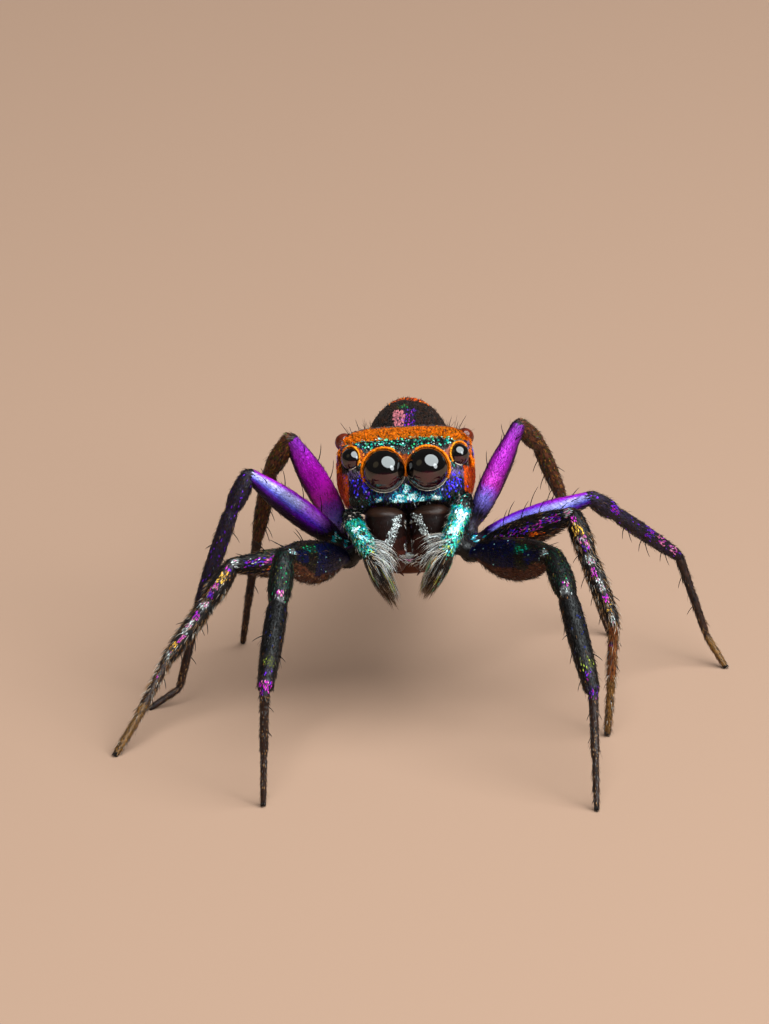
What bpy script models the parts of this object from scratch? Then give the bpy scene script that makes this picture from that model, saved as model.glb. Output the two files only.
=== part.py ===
"""A male jumping spider, Chrysilla volupe, standing: a life-size still model.

Shapes are worked out in millimetres and written in metres. The animal faces -Y and +Z is up.
The head, its eyes and mouthparts are drawn in a head frame: x to the animal's left, back from the
middle of the two large eyes, and up. head_frame turns and lifts it to where the animal holds it.
"""

import math
import random

import bmesh
import bpy
from mathutils import Matrix, Vector

MODEL = "chrysilla_volupe"
METRES_PER_MM = 0.001

# Gap between pieces that meet face to face, a tenth of a leg's thickness.
GAP = 0.03

# How the head is held.
EYE_HEIGHT = 3.2
HEAD_PITCH = 15.0
HEAD_ROLL = 2.6

# Carapace: back, half width, top, bottom, squareness of the upper and of the lower half, and how far
# the cheek hangs below the bottom at either side.
CARAPACE_SECTIONS = [
    (0.00, 0.40, 0.215, -0.365, 2.8, 3.2, 0.00),
    (0.03, 0.56, 0.275, -0.385, 3.2, 3.6, 0.03),
    (0.09, 0.66, 0.33, -0.40, 4.0, 4.2, 0.07),
    (0.20, 0.735, 0.365, -0.415, 4.8, 4.6, 0.15),
    (0.36, 0.775, 0.395, -0.44, 5.2, 4.6, 0.14),
    (0.58, 0.79, 0.425, -0.56, 5.0, 4.0, 0.06),
    (0.82, 0.80, 0.43, -0.66, 4.4, 3.4, 0.00),
    (1.06, 0.83, 0.395, -0.70, 3.5, 2.8, 0.00),
    (1.32, 0.84, 0.31, -0.71, 2.9, 2.3, 0.00),
    (1.58, 0.79, 0.18, -0.72, 2.5, 2.1, 0.00),
    (1.82, 0.71, 0.01, -0.74, 2.3, 2.3, 0.00),
    (2.02, 0.55, -0.20, -0.76, 2.2, 2.2, 0.00),
    (2.16, 0.36, -0.42, -0.77, 2.0, 2.0, 0.00),
    (2.22, 0.18, -0.55, -0.75, 2.0, 2.0, 0.00),
]
# The cheek hangs between these shares of the half width and beyond.
CHEEK_SHARES = (0.62, 0.76)
CARAPACE_SIDES = 32

# Sternum and the body wall over it: back, half width, top, bottom.
STERNUM_SECTIONS = [
    (0.74, 0.14, -0.55, -1.06),
    (0.84, 0.30, -0.55, -1.13),
    (1.10, 0.40, -0.55, -1.17),
    (1.45, 0.41, -0.55, -1.17),
    (1.80, 0.34, -0.55, -1.12),
    (2.00, 0.20, -0.55, -1.02),
]
STERNUM_SIDES = 18
STERNUM_POWER = 2.2

# Eyes: side, back, up, radius, how far the eye looks outwards, segments and rings.
EYES = {
    "eye_front_middle": (0.258, 0.015, 0.0, 0.246, 4.0, 18, 12),
    "eye_front_side": (0.628, 0.165, 0.135, 0.128, 24.0, 16, 10),
    "eye_small": (0.75, 0.52, 0.29, 0.036, 60.0, 10, 6),
    "eye_rear_side": (0.725, 0.87, 0.26, 0.112, 80.0, 16, 10),
}
SOCKET_GAP = 0.012

# Chelicera: up, side, back, half width, half depth.
CHELICERA_SECTIONS = [
    (-0.455, 0.300, 0.120, 0.140, 0.110),
    (-0.50, 0.285, 0.140, 0.210, 0.180),
    (-0.59, 0.270, 0.165, 0.250, 0.225),
    (-0.74, 0.268, 0.175, 0.252, 0.240),
    (-0.92, 0.240, 0.185, 0.222, 0.215),
    (-1.08, 0.198, 0.200, 0.172, 0.170),
    (-1.19, 0.165, 0.215, 0.120, 0.120),
    (-1.24, 0.150, 0.220, 0.070, 0.070),
]
CHELICERA_SIDES = 16
CHELICERA_HINGE = (0.25, 0.2, -0.5)

# Endites and labium behind the chelicerae: up, half width, back, half depth.
MOUTHPART_SECTIONS = [
    (-0.74, 0.22, 0.585, 0.080),
    (-0.95, 0.27, 0.575, 0.105),
    (-1.15, 0.29, 0.550, 0.110),
    (-1.30, 0.24, 0.520, 0.080),
]
MOUTHPART_SIDES = 16
MOUTHPART_ROOT = (0.0, 0.58, -0.74)

# Palps in the head frame: root, elbow, knee, end of the tibia, tip of the brush.
PALP_JOINTS = {
    "right": [
        (-0.43, 0.47, -0.92),
        (-0.60, 0.36, -0.86),
        (-0.70, 0.10, -0.53),
        (-0.475, -0.27, -0.93),
        (-0.174, -0.19, -1.63),
    ],
    "left": [
        (0.43, 0.47, -0.92),
        (0.62, 0.34, -0.80),
        (0.70, -0.03, -0.37),
        (0.445, -0.24, -0.96),
        (0.125, -0.17, -1.55),
    ],
}
PALP_SIDES = 12

# Palp: profile and half thickness from root to elbow, from elbow to knee, at the knee on either
# side of the joint, along the tibia and at the wrist.
PALP_ROOT_PROFILE = [(0.0, 1.0), (0.55, 1.1)]
PALP_ROOT_RADIUS = 0.085
PALP_FEMUR_PROFILE = [(0.15, 1.1), (0.6, 1.0)]
PALP_FEMUR_RADIUS = 0.09
PALP_KNEE_RADII = (0.085, 0.09)
PALP_TIBIA_PROFILE = [(0.25, 1.0), (0.52, 1.05), (0.76, 1.0)]
PALP_TIBIA_SIZE = (0.125, 0.115)
PALP_WRIST_SIZE = (0.115, 0.105)

# Abdomen: along its axis, half width, top, bottom. The axis starts behind the waist.
ABDOMEN_SECTIONS = [
    (0.00, 0.14, 0.14, -0.12),
    (0.08, 0.30, 0.29, -0.24),
    (0.26, 0.43, 0.40, -0.34),
    (0.60, 0.51, 0.46, -0.41),
    (1.10, 0.545, 0.48, -0.45),
    (1.65, 0.55, 0.49, -0.46),
    (2.15, 0.52, 0.48, -0.44),
    (2.60, 0.43, 0.43, -0.38),
    (2.95, 0.31, 0.34, -0.30),
    (3.16, 0.20, 0.23, -0.21),
    (3.26, 0.11, 0.12, -0.12),
]
ABDOMEN_SIDES = 28
ABDOMEN_POWER = 2.1
ABDOMEN_START = (0.05, 2.10, 1.96)
ABDOMEN_PITCH = 2.5

# Waist: radius, profile and its root in the head frame. It ends at the abdomen's axis.
WAIST_RADIUS = 0.085
WAIST_PROFILE = [(0.0, 1.0), (0.5, 0.85), (1.0, 1.0)]
WAIST_ROOT = (0.0, 2.22, -0.66)

# Spinnerets: a short base, and four cones at their places across and up round the axis.
SPINNERET_BASE = (0.08, 0.09, 0.08)
SPINNERET_PLACES = ((0.045, 0.03), (-0.045, 0.03), (0.04, -0.04), (-0.04, -0.04))
SPINNERET_LENGTH = 0.20
SPINNERET_RADIUS = 0.03
SPINNERET_TIP_RADIUS = 0.02
SPINNERET_START = 0.02
SPINNERET_DROP = -0.15

# Fang: length, radius at its root and at its point, its root and its way in the head frame.
FANG = (0.17, 0.030, 0.008)
FANG_ROOT = (0.155, 0.235, -1.18)
FANG_WAY = (-0.42, 0.35, -0.75)
FANG_SIDES = 8

# Brush on the last piece of each palp. The core reaches half way to the tips of the locks.
BRUSH_CORE_PROFILE = [(0.21, 1.0), (0.29, 1.05), (0.40, 0.86), (0.50, 0.42)]
BRUSH_CORE_WIDTH = 0.125
BRUSH_CORE_DEPTH = 0.110
BRUSH_LOCKS = 26
BRUSH_LOCK_WIDTH = 0.050
BRUSH_SPREAD = 0.075
BRUSH_TURN = 137.5
BRUSH_ROOTS = (0.20, 0.46)
BRUSH_ENDS = (0.66, 1.0)
BRUSH_BOW = (0.16, 0.035)

# Fringe of pale locks on the inner side of each palp's tibia, swept inwards and down.
FRINGE_LOCKS = 9
FRINGE_LOCK_WIDTH = 0.030
FRINGE_LENGTH = 0.27
FRINGE_ROOTS = (0.34, 0.84)
FRINGE_START = 0.075
FRINGE_BOW = (0.6, 0.15)
FRINGE_END = (0.8, 0.75)

LOCK_THICKNESS = 0.018
LOCK_SHARES = (0.8, 1.0, 0.7, 0.12)
LOCK_SINK = 0.045

# Legs: lengths of femur, patella, tibia, metatarsus and tarsus, for each pair from the front.
LEG_LENGTHS = {
    1: (1.41, 0.63, 1.34, 0.79, 0.58),
    2: (1.43, 0.54, 0.88, 0.87, 0.53),
    3: (1.60, 0.47, 1.24, 1.06, 0.46),
    4: (1.56, 0.55, 0.93, 1.23, 0.60),
}

# Half thickness of each pair: femur across, femur deep, patella, tibia, metatarsus, tarsus.
LEG_RADII = {
    1: (0.165, 0.265, 0.145, 0.130, 0.062, 0.044),
    2: (0.145, 0.185, 0.125, 0.108, 0.066, 0.050),
    3: (0.135, 0.170, 0.115, 0.098, 0.060, 0.046),
    4: (0.135, 0.175, 0.115, 0.100, 0.060, 0.046),
}

# How far each pair's femur hangs below its axis in the middle.
FEMUR_SAG = {1: 0.06, 2: 0.0, 3: 0.0, 4: 0.0}

# Where each pair's trochanter hangs in the head frame: side, back, up. Its ball has one radius.
TROCHANTERS = {
    1: (0.76, 0.74, -1.13),
    2: (0.74, 1.09, -1.18),
    3: (0.72, 1.43, -1.11),
    4: (0.71, 1.76, -1.06),
}
TROCHANTER_RADIUS = 0.125
COXA_RADIUS = 0.145
COXA_PROFILE = [(0.0, 0.90), (0.25, 1.0), (0.55, 0.96)]
COXA_ROOT_UP = -0.90

# Poses in degrees: headings of femur, of patella with tibia, of metatarsus and of tarsus, where 0
# is forwards and 90 is straight out; then how steeply the femur, patella, tibia and tarsus rise.
# The metatarsus takes the slope that brings the foot down to the floor.
LEG_POSES = {
    (1, "right"): (34, 7, 6, 2, 20, -40, -28, -73),
    (1, "left"): (44, 16, 3, 3, 15, -27, -39, -61),
    (2, "right"): (79, 46, 29, 41, 1, -44, -39, -41),
    (2, "left"): (74, 31, -15, -22, 27, -52, -48, -80),
    (3, "right"): (84, 60, 46, 63, 40, -60, -68, -25),
    (3, "left"): (88, 123, 65, 55, 23, -38, -39, -51),
    (4, "right"): (86, 112, 163, 166, 62, -61, -79, -65),
    (4, "left"): (144, 138, 56, 48, 46, -45, -62, -63),
}
LEG_SIDES = 10

# Profiles along a segment: fraction of its length, share of its half thickness.
FEMUR_PROFILE = [(0.0, 0.52), (0.10, 0.72), (0.30, 0.96), (0.50, 1.0), (0.70, 0.90), (0.84, 0.70)]
FEMUR_SAG_PROFILE = [(0.0, 0.1), (0.10, 0.45), (0.30, 0.9), (0.50, 1.0), (0.70, 0.75), (0.84, 0.35)]
KNEE_SHARE = 0.86
SHIN_SHARE = 0.88
ANKLE_SHARE = 1.12
PAD_SHARE = 0.8
PATELLA_PROFILE = [(0.38, 1.0), (0.78, 0.98)]
TIBIA_PROFILE = [(0.0, 0.86), (0.18, 1.0), (0.55, 0.98), (0.88, 0.80)]
METATARSUS_PROFILE = [(0.0, 1.12), (0.12, 1.0), (0.60, 0.90)]
TARSUS_PROFILE = [(0.0, 0.98), (0.35, 1.0), (0.80, 0.92)]

# Spines: fraction of the segment, degrees round from its top, length.
FEMUR_SPINES = [
    (0.30, 4, 0.25),
    (0.50, -8, 0.27),
    (0.69, 8, 0.23),
    (0.85, 58, 0.17),
    (0.85, -58, 0.17),
]
TIBIA_SPINES = [
    (0.22, 152, 0.19),
    (0.22, -152, 0.19),
    (0.50, 156, 0.20),
    (0.50, -156, 0.20),
    (0.80, 152, 0.18),
    (0.80, -152, 0.18),
    (0.40, 78, 0.15),
    (0.62, -78, 0.15),
]
METATARSUS_SPINES = [
    (0.24, 148, 0.16),
    (0.24, -148, 0.16),
    (0.62, 148, 0.13),
    (0.62, -148, 0.13),
]
SPINE_RADIUS = 0.017
SPINE_TIP_RADIUS = 0.004
SPINE_SINK = 0.03
SPINE_LEAN = 38.0
BRISTLE_RADIUS = 0.012

# Bristles on the head among the eyes: side, back, length. They lean forwards.
HEAD_BRISTLES = [
    (0.20, 0.16, 0.17),
    (0.46, 0.20, 0.19),
    (0.60, 0.42, 0.22),
    (0.66, 0.72, 0.26),
    (0.40, 0.62, 0.20),
    (0.52, 1.06, 0.24),
]

CLAW_LENGTH = 0.075
CLAW_RADIUS = 0.013
CLAW_HEIGHT = 0.052
CLAW_SPREAD = 14.0
CLAW_DROP = 0.35

# Colour, roughness and metallic share of each material.
FINISHES = {
    "carapace": ((0.55, 0.14, 0.03), 0.45, 0.2),
    "eye": ((0.012, 0.009, 0.009), 0.05, 0.0),
    "rear_eye": ((0.10, 0.03, 0.02), 0.08, 0.0),
    "chelicera": ((0.06, 0.02, 0.012), 0.2, 0.0),
    "mouthparts": ((0.22, 0.07, 0.04), 0.4, 0.0),
    "palp": ((0.03, 0.33, 0.32), 0.35, 0.6),
    "brush": ((0.25, 0.24, 0.19), 0.6, 0.0),
    "abdomen": ((0.40, 0.10, 0.04), 0.5, 0.2),
    "front_leg": ((0.02, 0.022, 0.03), 0.35, 0.3),
    "second_leg": ((0.09, 0.04, 0.06), 0.35, 0.3),
    "rear_leg": ((0.20, 0.03, 0.35), 0.3, 0.6),
    "foot": ((0.16, 0.09, 0.05), 0.5, 0.0),
}


def remove_scene_objects():
    for obj in list(bpy.data.objects):
        bpy.data.objects.remove(obj, do_unlink=True)


def collection(name):
    made = bpy.data.collections.new(name)
    bpy.context.scene.collection.children.link(made)
    return made


def head_frame():
    pitch = Matrix.Rotation(math.radians(-HEAD_PITCH), 4, "X")
    roll = Matrix.Rotation(math.radians(-HEAD_ROLL), 4, "Y")
    return Matrix.Translation((0.0, 0.0, EYE_HEIGHT)) @ pitch @ roll


def abdomen_frame():
    pitch = Matrix.Rotation(math.radians(-ABDOMEN_PITCH), 4, "X")
    return Matrix.Translation(ABDOMEN_START) @ pitch


def material(name):
    if name in bpy.data.materials:
        return bpy.data.materials[name]
    colour, roughness, metallic = FINISHES[name]
    made = bpy.data.materials.new(name)
    made.use_nodes = True
    shader = made.node_tree.nodes["Principled BSDF"]
    shader.inputs["Base Color"].default_value = (*colour, 1.0)
    shader.inputs["Roughness"].default_value = roughness
    shader.inputs["Metallic"].default_value = metallic
    return made


def object_of(mesh_builder, name):
    """A linked object from a bmesh, with its faces turned outwards."""
    bmesh.ops.recalc_face_normals(mesh_builder, faces=mesh_builder.faces)
    mesh = bpy.data.meshes.new(name)
    mesh_builder.to_mesh(mesh)
    mesh_builder.free()
    made = bpy.data.objects.new(name, mesh)
    bpy.context.scene.collection.objects.link(made)
    return made


def loft(name, rings):
    """A closed skin through rings of equal count, each end closed by one face."""
    builder = bmesh.new()
    rows = [[builder.verts.new(point) for point in ring] for ring in rings]
    count = len(rows[0])
    for before, after in zip(rows, rows[1:]):
        for i in range(count):
            j = (i + 1) % count
            builder.faces.new((before[i], before[j], after[j], after[i]))
    builder.faces.new(rows[0])
    builder.faces.new(reversed(rows[-1]))
    return object_of(builder, name)


def smooth_step(low, high, value):
    """Rises smoothly from 0 at low to 1 at high."""
    t = min(max((value - low) / (high - low), 0.0), 1.0)
    return t * t * (3 - 2 * t)


def rounded_section(half_width, top, bottom, upper_power, lower_power, drop, sides):
    """Points (across, up) of a superellipse with its own squareness above and below the middle."""
    middle = (top + bottom) / 2
    half_height = (top - bottom) / 2
    points = []
    for i in range(sides):
        angle = 2 * math.pi * i / sides
        below = math.sin(angle) < 0
        power = lower_power if below else upper_power
        share = abs(math.cos(angle)) ** (2 / power)
        across = math.copysign(share, math.cos(angle))
        up = math.copysign(abs(math.sin(angle)) ** (2 / power), math.sin(angle))
        height = middle + half_height * up
        if below:
            height -= drop * smooth_step(*CHEEK_SHARES, share) * abs(up)
        points.append((half_width * across, height))
    return points


def body_loft(name, sections, sides, frame):
    """A skin over sections of (along, half width, top, bottom, two powers, drop) in a frame."""
    rings = []
    for along, *shape in sections:
        outline = rounded_section(*shape, sides)
        rings.append([frame @ Vector((across, along, up)) for across, up in outline])
    return loft(name, rings)


def upright_loft(name, sections, sides, frame):
    """A skin over level sections of (up, side, back, half width, half depth)."""
    rings = []
    for up, side, back, half_width, half_depth in sections:
        ring = []
        for i in range(sides):
            angle = 2 * math.pi * i / sides
            across = side + half_width * math.cos(angle)
            deep = back + half_depth * math.sin(angle)
            ring.append(frame @ Vector((across, deep, up)))
        rings.append(ring)
    return loft(name, rings)


def ball(name, centre, radius, segments, rings, look):
    """A sphere whose pole faces the direction that the eye looks in."""
    builder = bmesh.new()
    turn = Vector((0.0, 0.0, 1.0)).rotation_difference(look).to_matrix().to_4x4()
    bmesh.ops.create_uvsphere(
        builder,
        u_segments=segments,
        v_segments=rings,
        radius=radius,
        matrix=Matrix.Translation(centre) @ turn,
    )
    return object_of(builder, name)


def cone(name, root, direction, length, radius, tip_radius, segments=3):
    """A tapered spine with its root at a point, which lies inside what it grows from."""
    builder = bmesh.new()
    turn = Vector((0.0, 0.0, 1.0)).rotation_difference(direction).to_matrix().to_4x4()
    bmesh.ops.create_cone(
        builder,
        cap_ends=True,
        segments=segments,
        radius1=radius,
        radius2=tip_radius,
        depth=length,
        matrix=Matrix.Translation(root + direction.normalized() * length / 2) @ turn,
    )
    return object_of(builder, name)


def section_axes(direction):
    """The sideways and upward directions of a limb's section."""
    across = direction.cross(Vector((0.0, 0.0, 1.0)))
    if across.length < 1e-6:
        across = Vector((1.0, 0.0, 0.0))
    across.normalize()
    return across, across.cross(direction).normalized()


def ring_on_plane(centre, direction, half_width, half_height, sides, plane_point, normal):
    """A limb's section slid along the limb onto a plane, such as the mitre of a joint."""
    across, up = section_axes(direction)
    ring = []
    for i in range(sides):
        angle = 2 * math.pi * i / sides
        point = centre + across * half_width * math.cos(angle) + up * half_height * math.sin(angle)
        slide = (plane_point - point).dot(normal) / direction.dot(normal)
        ring.append(point + direction * slide)
    return ring


def square_ring(centre, direction, half_width, half_height, sides):
    return ring_on_plane(
        centre, direction, half_width, half_height, sides, centre, direction
    )


def profile_rings(start, end, profile, half_width, half_height, sides, sags=None):
    """Sections square to a segment at the profile's fractions of its length, some hung lower."""
    direction = (end - start).normalized()
    _, up = section_axes(direction)
    rings = []
    for i, (fraction, share) in enumerate(profile):
        centre = start.lerp(end, fraction)
        if sags:
            centre -= up * sags[i]
        rings.append(
            square_ring(centre, direction, half_width * share, half_height * share, sides)
        )
    return rings


def share_at(profile, fraction):
    """The share of the half thickness at a fraction, between the profile's listed ones."""
    for before, after in zip(profile, profile[1:]):
        if before[0] <= fraction <= after[0]:
            mix = (fraction - before[0]) / (after[0] - before[0])
            return before[1] + (after[1] - before[1]) * mix
    return profile[-1][1]


def limb_surface(start, end, profile, half_width, half_height, fraction, from_top, sag):
    """A point on a segment's surface and the way out of it, at degrees round from its top."""
    across, up = section_axes((end - start).normalized())
    share = share_at(profile, fraction)
    angle = math.radians(from_top)
    outwards = (across * math.sin(angle) + up * math.cos(angle)).normalized()
    offset = across * half_width * share * math.sin(angle)
    offset += up * half_height * share * math.cos(angle)
    offset -= up * sag * share_at(FEMUR_SAG_PROFILE, fraction)
    return start.lerp(end, fraction) + offset, outwards


def segment_spines(name, start, end, profile, half_width, half_height, spines, draw, sag=0.0):
    """Spines on one segment, leaning towards its far end, each a little different."""
    along = (end - start).normalized()
    made = []
    for fraction, from_top, length in spines:
        turn = from_top + draw.uniform(-6, 6)
        point, outwards = limb_surface(
            start, end, profile, half_width, half_height, fraction, turn, sag
        )
        lean = math.radians(SPINE_LEAN + draw.uniform(-8, 8))
        direction = outwards * math.cos(lean) + along * math.sin(lean)
        root = point - outwards * SPINE_SINK
        reach = length * draw.uniform(0.9, 1.1) + SPINE_SINK
        made.append(
            cone(f"{name}_spine", root, direction, reach, SPINE_RADIUS, SPINE_TIP_RADIUS)
        )
    return made


def lock(name, root, bow, tip, width, facing):
    """A flat, tapered lock of hair that bends from its root by way of a bow point to its tip."""
    rings = []
    steps = len(LOCK_SHARES) - 1
    for step, share in enumerate(LOCK_SHARES):
        t = step / steps
        centre = root * (1 - t) ** 2 + bow * 2 * t * (1 - t) + tip * t**2
        along = ((bow - root) * (1 - t) + (tip - bow) * t).normalized()
        side = along.cross(facing).normalized()
        face = side.cross(along).normalized()
        half_width = side * width / 2 * share
        half_depth = face * LOCK_THICKNESS / 2 * max(share, 0.4)
        corners = (half_width, half_depth, -half_width, -half_depth)
        rings.append([centre + corner for corner in corners])
    return loft(name, rings)


def largest_part_only(obj):
    """Drops every closed surface of the mesh but the one that holds the most."""
    builder = bmesh.new()
    builder.from_mesh(obj.data)
    bmesh.ops.triangulate(builder, faces=builder.faces)
    unseen = set(builder.verts)
    parts = []
    while unseen:
        front = [unseen.pop()]
        part = set(front)
        while front:
            for edge in front.pop().link_edges:
                for vertex in edge.verts:
                    if vertex in unseen:
                        unseen.discard(vertex)
                        part.add(vertex)
                        front.append(vertex)
        parts.append(part)

    def volume(part):
        total = 0.0
        for face in builder.faces:
            if face.verts[0] in part:
                first, second, third = (vertex.co for vertex in face.verts)
                total += first.dot(second.cross(third)) / 6
        return total

    if len(parts) > 1:
        kept = max(parts, key=volume)
        dropped = [vertex for part in parts if part is not kept for vertex in part]
        bmesh.ops.delete(builder, geom=dropped, context="VERTS")
    builder.to_mesh(obj.data)
    builder.free()


def apply_modifiers(obj):
    graph = bpy.context.evaluated_depsgraph_get()
    mesh = bpy.data.meshes.new_from_object(obj.evaluated_get(graph))
    obj.modifiers.clear()
    obj.data = mesh


def boolean(obj, others, operation):
    """Joins or cuts closed meshes held in one collection, then removes them."""
    held = collection(obj.name + "_pieces")
    for other in others:
        bpy.context.scene.collection.objects.unlink(other)
        held.objects.link(other)
    modifier = obj.modifiers.new(operation.lower(), "BOOLEAN")
    modifier.operation = operation
    modifier.solver = "EXACT"
    modifier.operand_type = "COLLECTION"
    modifier.collection = held
    apply_modifiers(obj)
    for other in others:
        bpy.data.objects.remove(other, do_unlink=True)
    bpy.data.collections.remove(held)
    largest_part_only(obj)
    return obj


def finish(obj, pivot, finish_name, home):
    """Scales a node to metres, sets its origin on its joint and gives it its material."""
    obj.data.transform(Matrix.Translation(-pivot))
    obj.data.transform(Matrix.Scale(METRES_PER_MM, 4))
    obj.location = pivot * METRES_PER_MM
    obj.data.materials.clear()
    obj.data.materials.append(material(finish_name))
    obj.data.shade_smooth()
    obj.data.set_sharp_from_angle(angle=math.radians(50))
    bpy.context.scene.collection.objects.unlink(obj)
    home.objects.link(obj)
    return obj


def eye_places():
    """Every eye as (name, side, centre and look in the head frame, radius, segments, rings)."""
    places = []
    for kind, (side, back, up, radius, outwards, segments, rings) in EYES.items():
        for label, sign in (("left", 1), ("right", -1)):
            turn = math.radians(outwards)
            look = Vector((sign * math.sin(turn), -math.cos(turn), 0.0))
            centre = Vector((sign * side, back, up))
            places.append((f"{kind}_{label}", centre, look, radius, segments, rings))
    return places


def carapace_at(side, back):
    """A point on top of the carapace and the way out of it, in the head frame."""
    sections = CARAPACE_SECTIONS
    for before, after in zip(sections, sections[1:]):
        if before[0] <= back <= after[0]:
            mix = (back - before[0]) / (after[0] - before[0])
            _, half_width, top, bottom, power, _, _ = (
                first + (last - first) * mix for first, last in zip(before, after)
            )
            break
    share = min(abs(side) / half_width, 0.98)
    half_height = (top - bottom) / 2
    rise = (1 - share**power) ** (1 / power)
    up = (top + bottom) / 2 + half_height * rise
    slope = Vector(
        (
            math.copysign(share ** (power - 1) / half_width, side),
            0.0,
            rise ** (power - 1) / half_height,
        )
    )
    return Vector((side, back, up)), slope.normalized()


def head_bristles(head):
    draw = random.Random(7)
    made = []
    for side, back, length in HEAD_BRISTLES:
        for sign in (1, -1):
            point, outwards = carapace_at(sign * side, back)
            lean = Vector((0.0, -1.0, 0.0)) * draw.uniform(0.5, 0.8)
            direction = (outwards + lean).normalized()
            root = head @ (point - outwards * SPINE_SINK)
            reach = length * draw.uniform(0.9, 1.1) + SPINE_SINK
            way = head.to_3x3() @ direction
            made.append(cone("bristle", root, way, reach, BRISTLE_RADIUS, SPINE_TIP_RADIUS))
    return made


def make_cephalothorax(head, home):
    shell = body_loft("cephalothorax", CARAPACE_SECTIONS, CARAPACE_SIDES, head)
    sternum_shape = (STERNUM_POWER, STERNUM_POWER, 0.0)
    sternum_sections = [(*section, *sternum_shape) for section in STERNUM_SECTIONS]
    sternum = body_loft("sternum", sternum_sections, STERNUM_SIDES, head)
    boolean(shell, [sternum], "UNION")
    sockets = []
    for name, centre, look, radius, segments, rings in eye_places():
        direction = head.to_3x3() @ look
        socket_radius = radius + SOCKET_GAP
        sockets.append(
            ball(f"socket_{name}", head @ centre, socket_radius, segments, rings, direction)
        )
    boolean(shell, sockets, "DIFFERENCE")
    boolean(shell, head_bristles(head), "UNION")
    return finish(shell, head @ Vector((0.0, 0.0, 0.0)), "carapace", home)


def make_eyes(head, home):
    for name, centre, look, radius, segments, rings in eye_places():
        direction = head.to_3x3() @ look
        eye = ball(name, head @ centre, radius, segments, rings, direction)
        finish_name = "rear_eye" if "rear" in name or "small" in name else "eye"
        finish(eye, head @ centre, finish_name, home)


def make_chelicerae(head, home):
    for label, sign in (("left", 1), ("right", -1)):
        sections = [
            (up, sign * side, back, half_width, half_depth)
            for up, side, back, half_width, half_depth in CHELICERA_SECTIONS
        ]
        jaw = upright_loft(f"chelicera_{label}", sections, CHELICERA_SIDES, head)
        mirrored = Matrix.Diagonal((sign, 1.0, 1.0))
        root = head @ (mirrored @ Vector(FANG_ROOT))
        way = head.to_3x3() @ (mirrored @ Vector(FANG_WAY))
        length, radius, tip_radius = FANG
        boolean(jaw, [cone("fang", root, way, length, radius, tip_radius, FANG_SIDES)], "UNION")
        finish(jaw, head @ (mirrored @ Vector(CHELICERA_HINGE)), "chelicera", home)


def make_mouthparts(head, home):
    sections = [
        (up, 0.0, back, half_width, half_depth)
        for up, half_width, back, half_depth in MOUTHPART_SECTIONS
    ]
    block = upright_loft("mouthparts", sections, MOUTHPART_SIDES, head)
    finish(block, head @ Vector(MOUTHPART_ROOT), "mouthparts", home)


def mitre_normal(before, joint, after):
    """The normal of the plane that halves the bend at a joint."""
    return ((joint - before).normalized() + (after - joint).normalized()).normalized()


def brush_locks(label, wrist, tip):
    """The brush: locks rooted all over the core that lean together towards the tip."""
    draw = random.Random(11 if label == "left" else 12)
    along = (tip - wrist).normalized()
    across, up = section_axes(along)
    reach = (tip - wrist).length
    made = []
    for i in range(BRUSH_LOCKS):
        row = i / (BRUSH_LOCKS - 1)
        angle = math.radians(BRUSH_TURN * i + draw.uniform(-12, 12))
        outwards = across * math.cos(angle) + up * math.sin(angle)
        fraction = BRUSH_ROOTS[0] + (BRUSH_ROOTS[1] - BRUSH_ROOTS[0]) * row
        size = share_at(BRUSH_CORE_PROFILE, fraction)
        skin = across * BRUSH_CORE_WIDTH * math.cos(angle)
        skin += up * BRUSH_CORE_DEPTH * math.sin(angle)
        point = wrist.lerp(tip, fraction) + skin * size
        root = point - outwards * LOCK_SINK
        end_reach = (BRUSH_ENDS[1] - BRUSH_ENDS[0]) * row * draw.uniform(0.85, 1.0)
        end_fraction = BRUSH_ENDS[0] + end_reach
        spread = BRUSH_SPREAD * draw.uniform(0.4, 1.3) * (1.6 - end_fraction)
        end = wrist + along * reach * end_fraction + outwards * spread
        bow = point + along * reach * BRUSH_BOW[0] + outwards * BRUSH_BOW[1]
        made.append(lock("brush_lock", root, bow, end, BRUSH_LOCK_WIDTH, outwards))
    return made


def fringe_locks(label, head, knee, wrist):
    """Pale locks on the inner side of the tibia."""
    sign = 1 if label == "left" else -1
    draw = random.Random(21 if label == "left" else 22)
    inwards = head.to_3x3() @ Vector((-sign * 1.0, -0.25, 0.0))
    downwards = head.to_3x3() @ Vector((0.0, -0.05, -1.0))
    forwards = head.to_3x3() @ Vector((0.0, -1.0, 0.0))
    made = []
    for i in range(FRINGE_LOCKS):
        first, last = FRINGE_ROOTS
        centre = knee.lerp(wrist, first + (last - first) * i / (FRINGE_LOCKS - 1))
        root = centre + inwards * FRINGE_START + forwards * draw.uniform(-0.03, 0.04)
        length = FRINGE_LENGTH * draw.uniform(0.8, 1.1)
        bow = root + (inwards * FRINGE_BOW[0] + downwards * FRINGE_BOW[1]) * length
        end = root + (inwards * FRINGE_END[0] + downwards * FRINGE_END[1]) * length
        made.append(lock("fringe_lock", root, bow, end, FRINGE_LOCK_WIDTH, forwards))
    return made


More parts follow.
